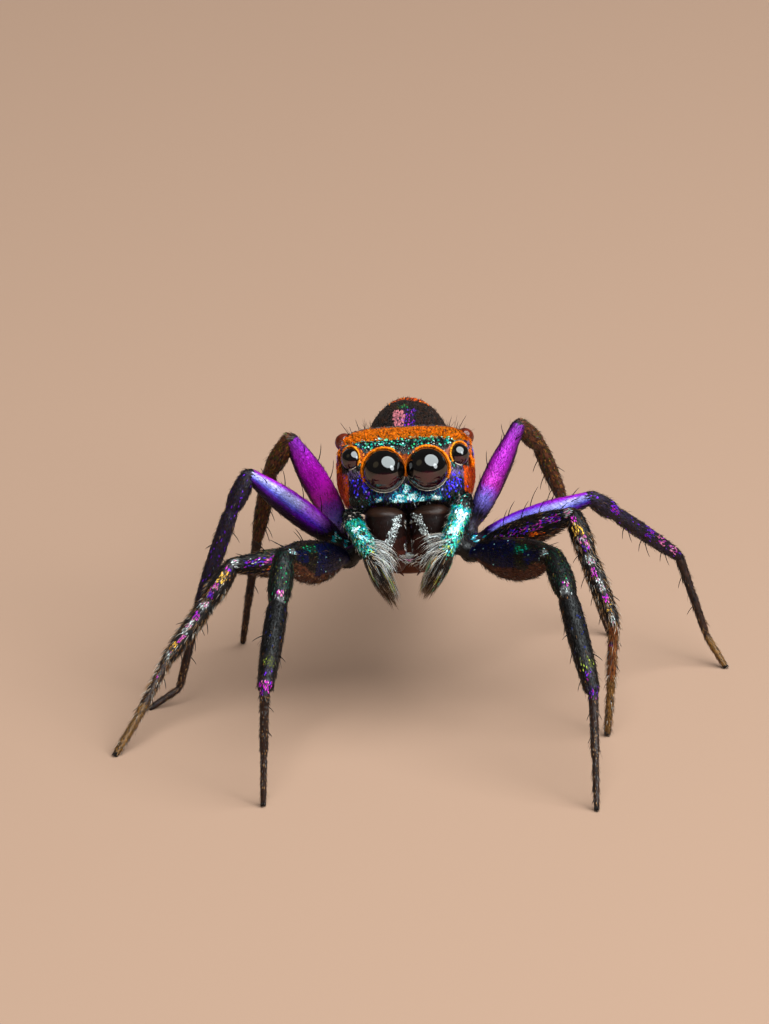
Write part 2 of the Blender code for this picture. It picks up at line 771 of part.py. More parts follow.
def make_palp(label, joints, home):
    """A palp from root by way of elbow, knee and wrist to the brush's tip."""
    root, elbow, knee, wrist, tip = joints
    sides = PALP_SIDES
    knee_normal = mitre_normal(elbow, knee, wrist)
    wrist_normal = mitre_normal(knee, wrist, tip)
    knee_step = knee_normal * GAP / 2
    wrist_step = wrist_normal * GAP / 2
    above_knee, below_knee = PALP_KNEE_RADII

    upper = (knee - elbow).normalized()
    root_size = (PALP_ROOT_RADIUS, PALP_ROOT_RADIUS)
    femur_size = (PALP_FEMUR_RADIUS, PALP_FEMUR_RADIUS)
    rings = profile_rings(root, elbow, PALP_ROOT_PROFILE, *root_size, sides)
    rings += profile_rings(elbow, knee, PALP_FEMUR_PROFILE, *femur_size, sides)
    rings.append(
        ring_on_plane(knee, upper, above_knee, above_knee, sides, knee - knee_step, knee_normal)
    )
    finish(loft(f"palp_{label}_femur", rings), root, "palp", home)

    lower = (wrist - knee).normalized()
    rings = [
        ring_on_plane(knee, lower, below_knee, below_knee, sides, knee + knee_step, knee_normal)
    ]
    rings += profile_rings(knee, wrist, PALP_TIBIA_PROFILE, *PALP_TIBIA_SIZE, sides)
    rings.append(
        ring_on_plane(wrist, lower, *PALP_WRIST_SIZE, sides, wrist - wrist_step, wrist_normal)
    )
    tibia = loft(f"palp_{label}_tibia", rings)
    boolean(tibia, fringe_locks(label, head_frame(), knee, wrist), "UNION")
    finish(tibia, knee, "palp", home)

    hand = (tip - wrist).normalized()
    rings = [
        ring_on_plane(wrist, hand, *PALP_WRIST_SIZE, sides, wrist + wrist_step, wrist_normal)
    ]
    rings += profile_rings(
        wrist, tip, BRUSH_CORE_PROFILE, BRUSH_CORE_WIDTH, BRUSH_CORE_DEPTH, sides
    )
    cymbium = loft(f"palp_{label}_cymbium", rings)
    boolean(cymbium, brush_locks(label, wrist, tip), "UNION")
    finish(cymbium, wrist, "brush", home)


def make_palps(head, home):
    for label, joints in PALP_JOINTS.items():
        make_palp(label, [head @ Vector(joint) for joint in joints], home)


def make_abdomen(head, home):
    frame = abdomen_frame()
    shape = (ABDOMEN_POWER, ABDOMEN_POWER, 0.0)
    sections = [(*section, *shape) for section in ABDOMEN_SECTIONS]
    abdomen = body_loft("abdomen", sections, ABDOMEN_SIDES, frame)
    front = frame @ Vector((0.0, 0.0, 0.0))
    finish(abdomen, front, "abdomen", home)

    start = head @ Vector(WAIST_ROOT)
    along = (front - start).normalized()
    rings = profile_rings(
        start + along * 2 * GAP,
        front - along * 2 * GAP,
        WAIST_PROFILE,
        WAIST_RADIUS,
        WAIST_RADIUS,
        LEG_SIDES,
    )
    finish(loft("waist", rings), start, "abdomen", home)

    last_along = ABDOMEN_SECTIONS[-1][0]
    core = frame @ Vector((0.0, last_along + GAP, 0.0))
    backwards = (frame.to_3x3() @ Vector((0.0, 1.0, SPINNERET_DROP))).normalized()
    base = cone("spinnerets", core, backwards, *SPINNERET_BASE, 12)
    pieces = []
    for across, up in SPINNERET_PLACES:
        root = core + frame.to_3x3() @ Vector((across, SPINNERET_START, up))
        lean = (backwards + frame.to_3x3() @ Vector((across, 0.0, up)) * 2).normalized()
        size = (SPINNERET_LENGTH, SPINNERET_RADIUS, SPINNERET_TIP_RADIUS)
        pieces.append(cone("spinneret", root, lean, *size, 8))
    boolean(base, pieces, "UNION")
    finish(base, core, "abdomen", home)


def leg_direction(sign, heading, rise):
    heading = math.radians(heading)
    rise = math.radians(rise)
    return Vector(
        (
            sign * math.sin(heading) * math.cos(rise),
            -math.cos(heading) * math.cos(rise),
            math.sin(rise),
        )
    )


def leg_joints(pair, label, head):
    """Trochanter, knee, patella end, tibia end, metatarsus end and foot. The foot ends at z = 0."""
    sign = 1 if label == "left" else -1
    lengths = LEG_LENGTHS[pair]
    side, back, up = TROCHANTERS[pair]
    headings = LEG_POSES[pair, label][:4]
    femur_rise, patella_rise, tibia_rise, tarsus_rise = LEG_POSES[pair, label][4:]
    femur_heading, shin_heading, metatarsus_heading, tarsus_heading = headings
    joints = [head @ Vector((sign * side, back, up))]
    upper = (
        (femur_heading, femur_rise),
        (shin_heading, patella_rise),
        (shin_heading, tibia_rise),
    )
    for (turn, climb), length in zip(upper, lengths):
        joints.append(joints[-1] + leg_direction(sign, turn, climb) * length)
    metatarsus, tarsus = lengths[3:]
    drop = joints[-1].z + tarsus * math.sin(math.radians(tarsus_rise))
    slope = -math.degrees(math.asin(drop / metatarsus))
    joints.append(joints[-1] + leg_direction(sign, metatarsus_heading, slope) * metatarsus)
    joints.append(joints[-1] + leg_direction(sign, tarsus_heading, tarsus_rise) * tarsus)
    return joints


def make_coxa(name, root, trochanter, home):
    """The coxa's barrel and the trochanter's ball at its end."""
    along = (trochanter - root).normalized()
    rings = profile_rings(root, trochanter, COXA_PROFILE, COXA_RADIUS, COXA_RADIUS, LEG_SIDES)
    for step in range(5):
        angle = math.radians(-40 + 30 * step)
        centre = trochanter + along * TROCHANTER_RADIUS * math.sin(angle)
        radius = TROCHANTER_RADIUS * math.cos(angle)
        rings.append(square_ring(centre, along, radius, radius, LEG_SIDES))
    finish(loft(name, rings), root, "front_leg", home)


def make_claws(foot, toe):
    """Two small claws at the tip of the tarsus, pointing forwards just over the floor."""
    forwards = Vector((toe.x, toe.y, 0.0)).normalized()
    root = foot - toe * CLAW_HEIGHT
    made = []
    for sign in (1, -1):
        turn = Matrix.Rotation(math.radians(sign * CLAW_SPREAD), 3, "Z")
        direction = turn @ forwards + Vector((0.0, 0.0, -CLAW_DROP))
        made.append(cone("claw", root, direction, CLAW_LENGTH, CLAW_RADIUS, SPINE_TIP_RADIUS))
    return made


def make_leg(pair, label, head, home):
    joints = leg_joints(pair, label, head)
    trochanter, knee, patella_end, tibia_end, metatarsus_end, foot = joints
    across, deep, patella, tibia, metatarsus, tarsus = LEG_RADII[pair]
    sign = 1 if label == "left" else -1
    prefix = f"leg_{pair}_{label}"
    finish_name = {1: "front_leg", 2: "second_leg"}.get(pair, "rear_leg")

    draw = random.Random(100 + 10 * pair + sign)

    side, back, up = TROCHANTERS[pair]
    flank = max(sternum_half_width(back + step * COXA_RADIUS) for step in (-1, 0, 1))
    root = head @ Vector((sign * (flank + 2 * GAP), back, COXA_ROOT_UP))
    make_coxa(f"{prefix}_coxa", root, trochanter, home)

    thigh = (knee - trochanter).normalized()
    start = trochanter + thigh * (TROCHANTER_RADIUS + GAP)
    knee_normal = mitre_normal(trochanter, knee, patella_end)
    knee_size = patella * KNEE_SHARE
    sag = FEMUR_SAG[pair]
    sags = [sag * share for _, share in FEMUR_SAG_PROFILE]
    rings = profile_rings(start, knee, FEMUR_PROFILE, across, deep, LEG_SIDES, sags)
    rings.append(
        ring_on_plane(
            knee, thigh, knee_size, knee_size, LEG_SIDES, knee - knee_normal * GAP / 2, knee_normal
        )
    )
    femur = loft(f"{prefix}_femur", rings)
    spines = segment_spines(
        prefix, start, knee, FEMUR_PROFILE, across, deep, FEMUR_SPINES, draw, sag
    )
    boolean(femur, spines, "UNION")
    finish(femur, start, finish_name, home)

    shank = (patella_end - knee).normalized()
    rings = [
        ring_on_plane(
            knee, shank, knee_size, knee_size, LEG_SIDES, knee + knee_normal * GAP / 2, knee_normal
        )
    ]
    rings += profile_rings(knee, patella_end, PATELLA_PROFILE, patella, patella, LEG_SIDES)
    bend = mitre_normal(knee, patella_end, tibia_end)
    shin = (tibia_end - patella_end).normalized()
    neck = tibia * SHIN_SHARE
    rings.append(ring_on_plane(patella_end, bend, neck, neck, LEG_SIDES, patella_end, bend))
    rings += profile_rings(patella_end, tibia_end, TIBIA_PROFILE[1:], tibia, tibia, LEG_SIDES)
    ankle_normal = mitre_normal(patella_end, tibia_end, metatarsus_end)
    ankle = metatarsus * ANKLE_SHARE
    rings.append(
        ring_on_plane(
            tibia_end, shin, ankle, ankle, LEG_SIDES, tibia_end - ankle_normal * GAP / 2, ankle_normal
        )
    )
    lower_leg = loft(f"{prefix}_tibia", rings)
    spines = segment_spines(
        prefix, patella_end, tibia_end, TIBIA_PROFILE, tibia, tibia, TIBIA_SPINES, draw
    )
    boolean(lower_leg, spines, "UNION")
    finish(lower_leg, knee, finish_name, home)

    stalk = (metatarsus_end - tibia_end).normalized()
    toe = (foot - metatarsus_end).normalized()
    rings = [
        ring_on_plane(
            tibia_end, stalk, ankle, ankle, LEG_SIDES, tibia_end + ankle_normal * GAP / 2, ankle_normal
        )
    ]
    rings += profile_rings(
        tibia_end, metatarsus_end, METATARSUS_PROFILE[1:], metatarsus, metatarsus, LEG_SIDES
    )
    toe_bend = mitre_normal(tibia_end, metatarsus_end, foot)
    toe_root = tarsus * TARSUS_PROFILE[0][1]
    rings.append(
        ring_on_plane(
            metatarsus_end, toe_bend, toe_root, toe_root, LEG_SIDES, metatarsus_end, toe_bend
        )
    )
    rings += profile_rings(metatarsus_end, foot, TARSUS_PROFILE[1:], tarsus, tarsus, LEG_SIDES)
    floor_up = Vector((0.0, 0.0, -1.0))
    pad = tarsus * PAD_SHARE
    rings.append(ring_on_plane(foot, toe, pad, pad, LEG_SIDES, Vector((0.0, 0.0, 0.0)), floor_up))
    foot_object = loft(f"{prefix}_foot", rings)
    spines = segment_spines(
        prefix,
        tibia_end,
        metatarsus_end,
        METATARSUS_PROFILE,
        metatarsus,
        metatarsus,
        METATARSUS_SPINES,
        draw,
    )
    boolean(foot_object, spines + make_claws(foot, toe), "UNION")
    finish(foot_object, tibia_end, "foot", home)


def sternum_half_width(back):
    """Half width of the sternum's section at a distance back, between its listed sections."""
    for before, after in zip(STERNUM_SECTIONS, STERNUM_SECTIONS[1:]):
        if before[0] <= back <= after[0]:
            share = (back - before[0]) / (after[0] - before[0])
            return before[1] + (after[1] - before[1]) * share
    return STERNUM_SECTIONS[0][1]


def stand_over_origin(home):
    """Moves the whole animal so that the middle of its footprint box is the origin."""
    bpy.context.view_layer.update()
    corners = []
    for obj in home.objects:
        if obj.type == "MESH":
            corners += [obj.matrix_world @ vertex.co for vertex in obj.data.vertices]
    middle = Vector(
        (
            (min(p.x for p in corners) + max(p.x for p in corners)) / 2,
            (min(p.y for p in corners) + max(p.y for p in corners)) / 2,
            min(p.z for p in corners),
        )
    )
    spider = bpy.data.objects.new(MODEL, None)
    home.objects.link(spider)
    for obj in home.objects:
        if obj.type == "MESH":
            obj.location -= middle
            obj.parent = spider


def main():
    remove_scene_objects()
    home = collection(MODEL)
    head = head_frame()
    make_cephalothorax(head, home)
    make_eyes(head, home)
    make_chelicerae(head, home)
    make_mouthparts(head, home)
    make_palps(head, home)
    make_abdomen(head, home)
    for pair in LEG_LENGTHS:
        for label in ("left", "right"):
            make_leg(pair, label, head, home)
    stand_over_origin(home)


main()
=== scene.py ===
"""Looks of a male jumping spider, Chrysilla volupe: skins, coats, eyes, light and camera.

Shapes are worked out in millimetres in the animal's own stance: it faces -Y, +X is its left side and
the middle of its two large eyes is over x = 0, y = 0. The boxes of those eyes place it on the frame.
The head frame is x to the animal's left, back from the middle of the large eyes, and up.
"""

import math
import random

import bmesh
import bpy
import numpy as np
from mathutils import Matrix, Vector
from mathutils.kdtree import KDTree


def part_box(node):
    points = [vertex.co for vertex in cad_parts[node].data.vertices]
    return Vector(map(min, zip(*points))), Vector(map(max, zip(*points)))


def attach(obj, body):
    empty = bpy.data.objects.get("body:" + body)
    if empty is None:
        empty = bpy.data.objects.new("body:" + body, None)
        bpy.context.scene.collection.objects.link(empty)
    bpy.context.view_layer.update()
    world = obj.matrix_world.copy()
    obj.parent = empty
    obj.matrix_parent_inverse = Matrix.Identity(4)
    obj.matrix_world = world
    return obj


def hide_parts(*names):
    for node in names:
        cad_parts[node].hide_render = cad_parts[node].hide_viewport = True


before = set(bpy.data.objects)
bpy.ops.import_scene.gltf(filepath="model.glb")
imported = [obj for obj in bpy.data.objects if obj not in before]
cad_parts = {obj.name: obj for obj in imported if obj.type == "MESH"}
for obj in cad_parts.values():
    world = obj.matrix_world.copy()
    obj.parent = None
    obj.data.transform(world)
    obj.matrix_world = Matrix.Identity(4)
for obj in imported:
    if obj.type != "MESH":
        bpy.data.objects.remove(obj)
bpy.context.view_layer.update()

MM = 0.001
BODY = "root"
SIDES = (("left", 1), ("right", -1))
WHOLE_MAP = (0.0, 0.0, 1.0, 1.0)
PATH_STEP = 0.01

# How the head is held, as the solids have it.
EYE_HEIGHT = 3.2
HEAD_PITCH = 15.0
HEAD_ROLL = 2.6
EYE_LINE_BACK = 0.015
# Shares of up and back in the height on the face.
FACE_TILT = (0.9925, 0.122)

# Carapace: back, half width, top, bottom, squareness of the upper and of the lower half, and how far
# the cheek hangs below the bottom at either side.
CARAPACE_SECTIONS = [
    (0.00, 0.40, 0.215, -0.365, 2.8, 3.2, 0.00),
    (0.03, 0.56, 0.275, -0.385, 3.2, 3.6, 0.03),
    (0.09, 0.66, 0.33, -0.40, 4.0, 4.2, 0.07),
    (0.20, 0.735, 0.365, -0.415, 4.8, 4.6, 0.15),
    (0.36, 0.775, 0.395, -0.44, 5.2, 4.6, 0.14),
    (0.58, 0.79, 0.425, -0.56, 5.0, 4.0, 0.06),
    (0.82, 0.80, 0.43, -0.66, 4.4, 3.4, 0.00),
    (1.06, 0.83, 0.395, -0.70, 3.5, 2.8, 0.00),
    (1.32, 0.84, 0.31, -0.71, 2.9, 2.3, 0.00),
    (1.58, 0.79, 0.18, -0.72, 2.5, 2.1, 0.00),
    (1.82, 0.71, 0.01, -0.74, 2.3, 2.3, 0.00),
    (2.02, 0.55, -0.20, -0.76, 2.2, 2.2, 0.00),
    (2.16, 0.36, -0.42, -0.77, 2.0, 2.0, 0.00),
    (2.22, 0.18, -0.55, -0.75, 2.0, 2.0, 0.00),
]
CHEEK_SHARES = (0.62, 0.76)

# Sternum and the body wall over it, then the abdomen: along, half width, top, bottom.
STERNUM_SECTIONS = [
    (0.74, 0.14, -0.55, -1.06),
    (0.84, 0.30, -0.55, -1.13),
    (1.10, 0.40, -0.55, -1.17),
    (1.45, 0.41, -0.55, -1.17),
    (1.80, 0.34, -0.55, -1.12),
    (2.00, 0.20, -0.55, -1.02),
]
STERNUM_POWER = 2.2
ABDOMEN_SECTIONS = [
    (0.00, 0.14, 0.14, -0.12),
    (0.08, 0.30, 0.29, -0.24),
    (0.26, 0.43, 0.40, -0.34),
    (0.60, 0.51, 0.46, -0.41),
    (1.10, 0.545, 0.48, -0.45),
    (1.65, 0.55, 0.49, -0.46),
    (2.15, 0.52, 0.48, -0.44),
    (2.60, 0.43, 0.43, -0.38),
    (2.95, 0.31, 0.34, -0.30),
    (3.16, 0.20, 0.23, -0.21),
    (3.26, 0.11, 0.12, -0.12),
]
ABDOMEN_POWER = 2.1
ABDOMEN_START = (0.05, 2.10, 1.96)
ABDOMEN_PITCH = 2.5
WAIST_ROOT = (0.0, 2.10, -0.64)
# Forms of round pieces: place and radius.
WAIST_FORM = [(0.0, 0.075), (0.5, 0.066), (1.0, 0.075)]
SPINNERET_FORM = [(0.0, 0.032), (0.6, 0.028), (1.0, 0.016)]
SPINNERET_LENGTH = 0.20
SPINNERET_PLACES = ((0.045, 0.03), (-0.045, 0.03), (0.04, -0.04), (-0.04, -0.04))

# Eyes: side, back, up, radius, how far the eye looks outwards.
EYES = {
    "eye_front_middle": (0.258, 0.015, 0.0, 0.252, 4.0),
    "eye_front_side": (0.628, 0.165, 0.135, 0.138, 24.0),
    "eye_small": (0.75, 0.52, 0.29, 0.036, 60.0),
    "eye_rear_side": (0.725, 0.87, 0.26, 0.112, 80.0),
}

# Lens colours for each slot: around, and low in the lens, where a red-brown painted reflection of the
# floor lies.
LENS_COLOURS = {
    "eye": ((0.0016, 0.001, 0.001), (0.025, 0.0006, 0.0045)),
    "rear_eye": ((0.095, 0.013, 0.005), (0.130, 0.022, 0.008)),
}

# Chelicera: up, side, back, half width, half depth.
CHELICERA_SECTIONS = [
    (-0.455, 0.300, 0.120, 0.140, 0.110),
    (-0.50, 0.285, 0.140, 0.210, 0.180),
    (-0.59, 0.270, 0.165, 0.250, 0.225),
    (-0.74, 0.268, 0.175, 0.252, 0.240),
    (-0.92, 0.240, 0.185, 0.222, 0.215),
    (-1.08, 0.198, 0.200, 0.172, 0.170),
    (-1.19, 0.165, 0.215, 0.120, 0.120),
    (-1.24, 0.150, 0.220, 0.070, 0.070),
]
FANG_ROOT = (0.155, 0.235, -1.18)
FANG_HEADING = (-0.42, 0.35, -0.75)
FANG_LENGTH = 0.17
FANG_RADIUS = 0.030
FANG_FORM = [(0.0, 1.0), (1.0, 0.7), (2.0, 0.13)]

# Endites and labium: up, side, back, half width, half depth.
MOUTHPART_SECTIONS = [
    (-0.74, 0.0, 0.585, 0.22, 0.080),
    (-0.95, 0.0, 0.575, 0.27, 0.105),
    (-1.15, 0.0, 0.550, 0.29, 0.110),
    (-1.30, 0.0, 0.520, 0.24, 0.080),
]

# Palps in the head frame: root, elbow, knee, wrist, tip of the brush.
PALP_JOINTS = {
    "right": [
        (-0.43, 0.47, -0.92),
        (-0.60, 0.36, -0.86),
        (-0.70, 0.10, -0.53),
        (-0.475, -0.27, -0.93),
        (-0.174, -0.19, -1.63),
    ],
    "left": [
        (0.43, 0.47, -0.92),
        (0.62, 0.34, -0.80),
        (0.70, -0.03, -0.37),
        (0.445, -0.24, -0.96),
        (0.125, -0.17, -1.55),
    ],
}

# Half thickness of a palp: segment and fraction along it, half width, half height, drop.
PALP_FORM = [
    (0.0, 0.080, 0.080, 0.0),
    (0.6, 0.088, 0.088, 0.0),
    (1.0, 0.086, 0.086, 0.0),
    (1.6, 0.084, 0.084, 0.0),
    (2.0, 0.086, 0.086, 0.0),
    (2.10, 0.112, 0.105, 0.0),
    (2.40, 0.124, 0.114, 0.0),
    (2.52, 0.116, 0.106, 0.0),
    (2.62, 0.122, 0.112, 0.0),
    (2.80, 0.120, 0.110, 0.0),
    (3.0, 0.106, 0.096, 0.0),
    (3.10, 0.108, 0.096, 0.0),
    (3.24, 0.108, 0.094, 0.0),
    (3.38, 0.084, 0.072, 0.0),
    (3.48, 0.048, 0.042, 0.0),
    (3.53, 0.012, 0.012, 0.0),
]
BRUSH_ROOTS = (0.02, 0.46)
BRUSH_ENDS = (0.50, 1.0)
BRUSH_SPREAD = 0.145

# Legs: lengths of femur, patella, tibia, metatarsus and tarsus, for each pair from the front.
LEG_LENGTHS = {
    1: (1.41, 0.63, 1.34, 0.79, 0.58),
    2: (1.43, 0.54, 0.88, 0.87, 0.53),
    3: (1.60, 0.47, 1.24, 1.06, 0.46),
    4: (1.56, 0.55, 0.93, 1.23, 0.60),
}

# Half thickness of each pair: femur across, femur deep, patella, tibia, metatarsus, tarsus.
LEG_RADII = {
    1: (0.165, 0.265, 0.145, 0.130, 0.062, 0.044),
    2: (0.145, 0.185, 0.125, 0.108, 0.066, 0.050),
    3: (0.135, 0.170, 0.115, 0.098, 0.060, 0.046),
    4: (0.135, 0.175, 0.115, 0.100, 0.060, 0.046),
}

# How far each pair's femur hangs below its axis in the middle.
FEMUR_SAG = {1: 0.06, 2: 0.0, 3: 0.0, 4: 0.0}

# Where each pair's trochanter hangs in the head frame: side, back, up.
TROCHANTERS = {
    1: (0.76, 0.74, -1.13),
    2: (0.74, 1.09, -1.18),
    3: (0.72, 1.43, -1.11),
    4: (0.71, 1.76, -1.06),
}
TROCHANTER_RADIUS = 0.125
COXA_RADIUS = 0.145
COXA_ROOT_SIDES = {1: 0.377, 2: 0.464, 3: 0.47, 4: 0.437}
COXA_ROOT_UP = -0.90
GAP = 0.03

# Form of a leg: part, segment and fraction along it, and share of that part's radius.
COXA_FORM = [
    ("coxa", 0.0, 0.90),
    ("coxa", 0.35, 1.0),
    ("coxa", 0.62, 0.93),
    ("coxa", 0.78, 0.76),
    ("trochanter", 0.98, 1.0),
    ("trochanter", 1.06, 0.84),
]
SHIN_FORM = [
    ("knee", 1.95, 0.98),
    ("knee", 2.0, 0.90),
    ("knee", 2.09, 0.98),
    ("patella", 2.38, 1.0),
    ("patella", 2.78, 0.98),
    ("tibia", 2.93, 0.96),
    ("tibia", 3.0, 0.86),
    ("tibia", 3.06, 0.94),
    ("tibia", 3.2, 1.0),
    ("tibia", 3.55, 0.98),
    ("tibia", 3.88, 0.80),
    ("tibia", 3.96, 0.72),
    ("metatarsus", 4.0, 1.0),
    ("metatarsus", 4.05, 1.08),
    ("metatarsus", 4.14, 1.0),
    ("metatarsus", 4.6, 0.90),
    ("metatarsus", 4.94, 0.80),
    ("tarsus", 5.0, 0.94),
    ("tarsus", 5.06, 0.99),
    ("tarsus", 5.35, 1.0),
    ("tarsus", 5.8, 0.92),
    ("tarsus", 6.0, 0.80),
]
# Form of a femur: fraction along it, share of its half width and height, share of its sag.
FEMUR_FORM = [
    (0.0, 0.54, 0.1),
    (0.10, 0.72, 0.45),
    (0.30, 0.96, 0.9),
    (0.50, 1.0, 1.0),
    (0.70, 0.90, 0.75),
    (0.84, 0.72, 0.35),
]

# Poses in degrees: headings of femur, of patella with tibia, of metatarsus and of tarsus, where 0
# is forwards and 90 is straight out; then how steeply the femur, patella, tibia and tarsus rise.
LEG_POSES = {
    (1, "right"): (34, 7, 6, 2, 20, -40, -28, -73),
    (1, "left"): (44, 16, 3, 3, 15, -27, -39, -61),
    (2, "right"): (79, 46, 29, 41, 1, -44, -39, -41),
    (2, "left"): (74, 31, -15, -22, 27, -52, -48, -80),
    (3, "right"): (84, 60, 46, 63, 40, -60, -68, -25),
    (3, "left"): (88, 123, 65, 55, 23, -38, -39, -51),
    (4, "right"): (86, 112, 163, 166, 62, -61, -79, -65),
    (4, "left"): (144, 138, 56, 48, 46, -45, -62, -63),
}

# Spines: fraction of the segment, degrees round from its top, length.
FEMUR_SPINES = [
    (0.30, 4, 0.25),
    (0.50, -8, 0.27),
    (0.69, 8, 0.23),
    (0.85, 58, 0.17),
    (0.85, -58, 0.17),
]
TIBIA_SPINES = [
    (0.22, 152, 0.19),
    (0.22, -152, 0.19),
    (0.50, 156, 0.20),
    (0.50, -156, 0.20),
    (0.80, 152, 0.18),
    (0.80, -152, 0.18),
    (0.40, 78, 0.15),
    (0.62, -78, 0.15),
]
METATARSUS_SPINES = [
    (0.24, 148, 0.16),
    (0.24, -148, 0.16),
    (0.62, 148, 0.13),
    (0.62, -148, 0.13),
]
SPINE_LEAN = 38.0
SPINE_RADIUS = 0.0075
# Bristles on the head: side, back, length.
HEAD_BRISTLES = [
    (0.20, 0.16, 0.17),
    (0.46, 0.20, 0.19),
    (0.60, 0.42, 0.22),
    (0.66, 0.72, 0.26),
    (0.40, 0.62, 0.20),
    (0.52, 1.06, 0.24),
]
CLAW_LENGTH = 0.07
CLAW_RADIUS = 0.009
CLAW_HEIGHT = 0.052
CLAW_SPREAD = 14.0

# How deep the skins lie inside the solids, so that the coats reach their surface.
BODY_COAT = 0.012
LIMB_COAT = 0.006

# How many scales, blades and hairs there are: on the whole, or on each jaw, palp, leg or eye.
COUNTS = {
    "face": 15500,
    "forehead_glints": 170,
    "cheek_glints": 80,
    "face_fuzz": 1900,
    "over_jaws": 34,
    "crest": 8000,
    "flank": 7200,
    "back": 16000,
    "sternum": 2400,
    "fine_bristles": 46,
    "large_rim": 1300,
    "small_rim": 520,
    "jaw_stripe": 420,
    "jaw_edge": 22,
    "by_fang": 46,
    "jaw_fuzz": 150,
    "abdomen": 16500,
    "abdomen_fuzz": 2200,
    "leg_pale": 640,
    "leg_under": 420,
    "palp": 4200,
    "fringe": 96,
    "palp_outer": 260,
    "brush": 1500,
}
LEG_SCALES = {1: 7300, 2: 7600, 3: 6200, 4: 5600}
LEG_HAIRS = {1: 1700, 2: 2300, 3: 1200, 4: 1200}

# Camera: the photo's view, in degrees, millimetres and the photo's own pixels.
IMAGE_SIZE = (769, 1024)
CAMERA_RISE = 22.0
CAMERA_DISTANCE = 80.0
PIXELS_PER_MM = 84.0
EYES_IN_IMAGE = (405.6, 469.4)
SENSOR = 36.0

# Colours of cuticle and scales: red, green, blue and how metallic the scale is.
PALETTE = {
    "black": (0.003, 0.0025, 0.0025, 0.1),
    "soot": (0.010, 0.008, 0.0085, 0.15),
    "brown": (0.024, 0.009, 0.005, 0.0),
    "red_brown": (0.090, 0.024, 0.010, 0.0),
    "wine": (0.026, 0.0045, 0.0025, 0.0),
    "maroon": (0.008, 0.0020, 0.0013, 0.0),
    "blood": (0.050, 0.009, 0.005, 0.0),
    "tan": (0.30, 0.15, 0.055, 0.0),
    "honey": (0.165, 0.074, 0.015, 0.0),
    "copper": (0.165, 0.043, 0.010, 0.0),
    "amber": (0.24, 0.085, 0.014, 0.0),
    "grey": (0.10, 0.095, 0.095, 0.1),
    "cream": (0.62, 0.53, 0.44, 0.0),
    "silver": (0.50, 0.55, 0.54, 0.5),
    "white": (0.92, 0.97, 0.97, 0.1),
    "orange": (0.98, 0.225, 0.0, 0.0),
    "gold_orange": (0.98, 0.34, 0.01, 0.0),
    "rust": (0.26, 0.028, 0.002, 0.0),
    "red_orange": (0.80, 0.085, 0.0, 0.0),
    "turquoise": (0.0, 0.42, 0.34, 0.45),
    "cyan": (0.0, 0.38, 0.58, 0.4),
    "ice": (0.46, 0.95, 0.97, 0.25),
    "mint": (0.08, 0.70, 0.44, 0.3),
    "green": (0.01, 0.42, 0.13, 0.45),
    "dark_green": (0.005, 0.032, 0.020, 0.3),
    "olive": (0.060, 0.064, 0.008, 0.2),
    "lime": (0.36, 0.44, 0.04, 0.3),
    "blue": (0.025, 0.02, 0.90, 0.35),
    "deep_blue": (0.007, 0.012, 0.13, 0.4),
    "navy": (0.003, 0.005, 0.040, 0.4),
    "periwinkle": (0.30, 0.34, 0.98, 0.4),
    "violet": (0.15, 0.012, 0.60, 0.45),
    "lilac": (0.16, 0.105, 0.25, 0.1),
    "slate": (0.018, 0.011, 0.030, 0.2),
    "magenta": (0.52, 0.010, 0.46, 0.4),
    "pink": (0.66, 0.17, 0.36, 0.25),
    "rose": (0.52, 0.15, 0.18, 0.1),
    "gold": (0.80, 0.44, 0.05, 0.5),
}
BLACK = np.array([PALETTE["black"]])

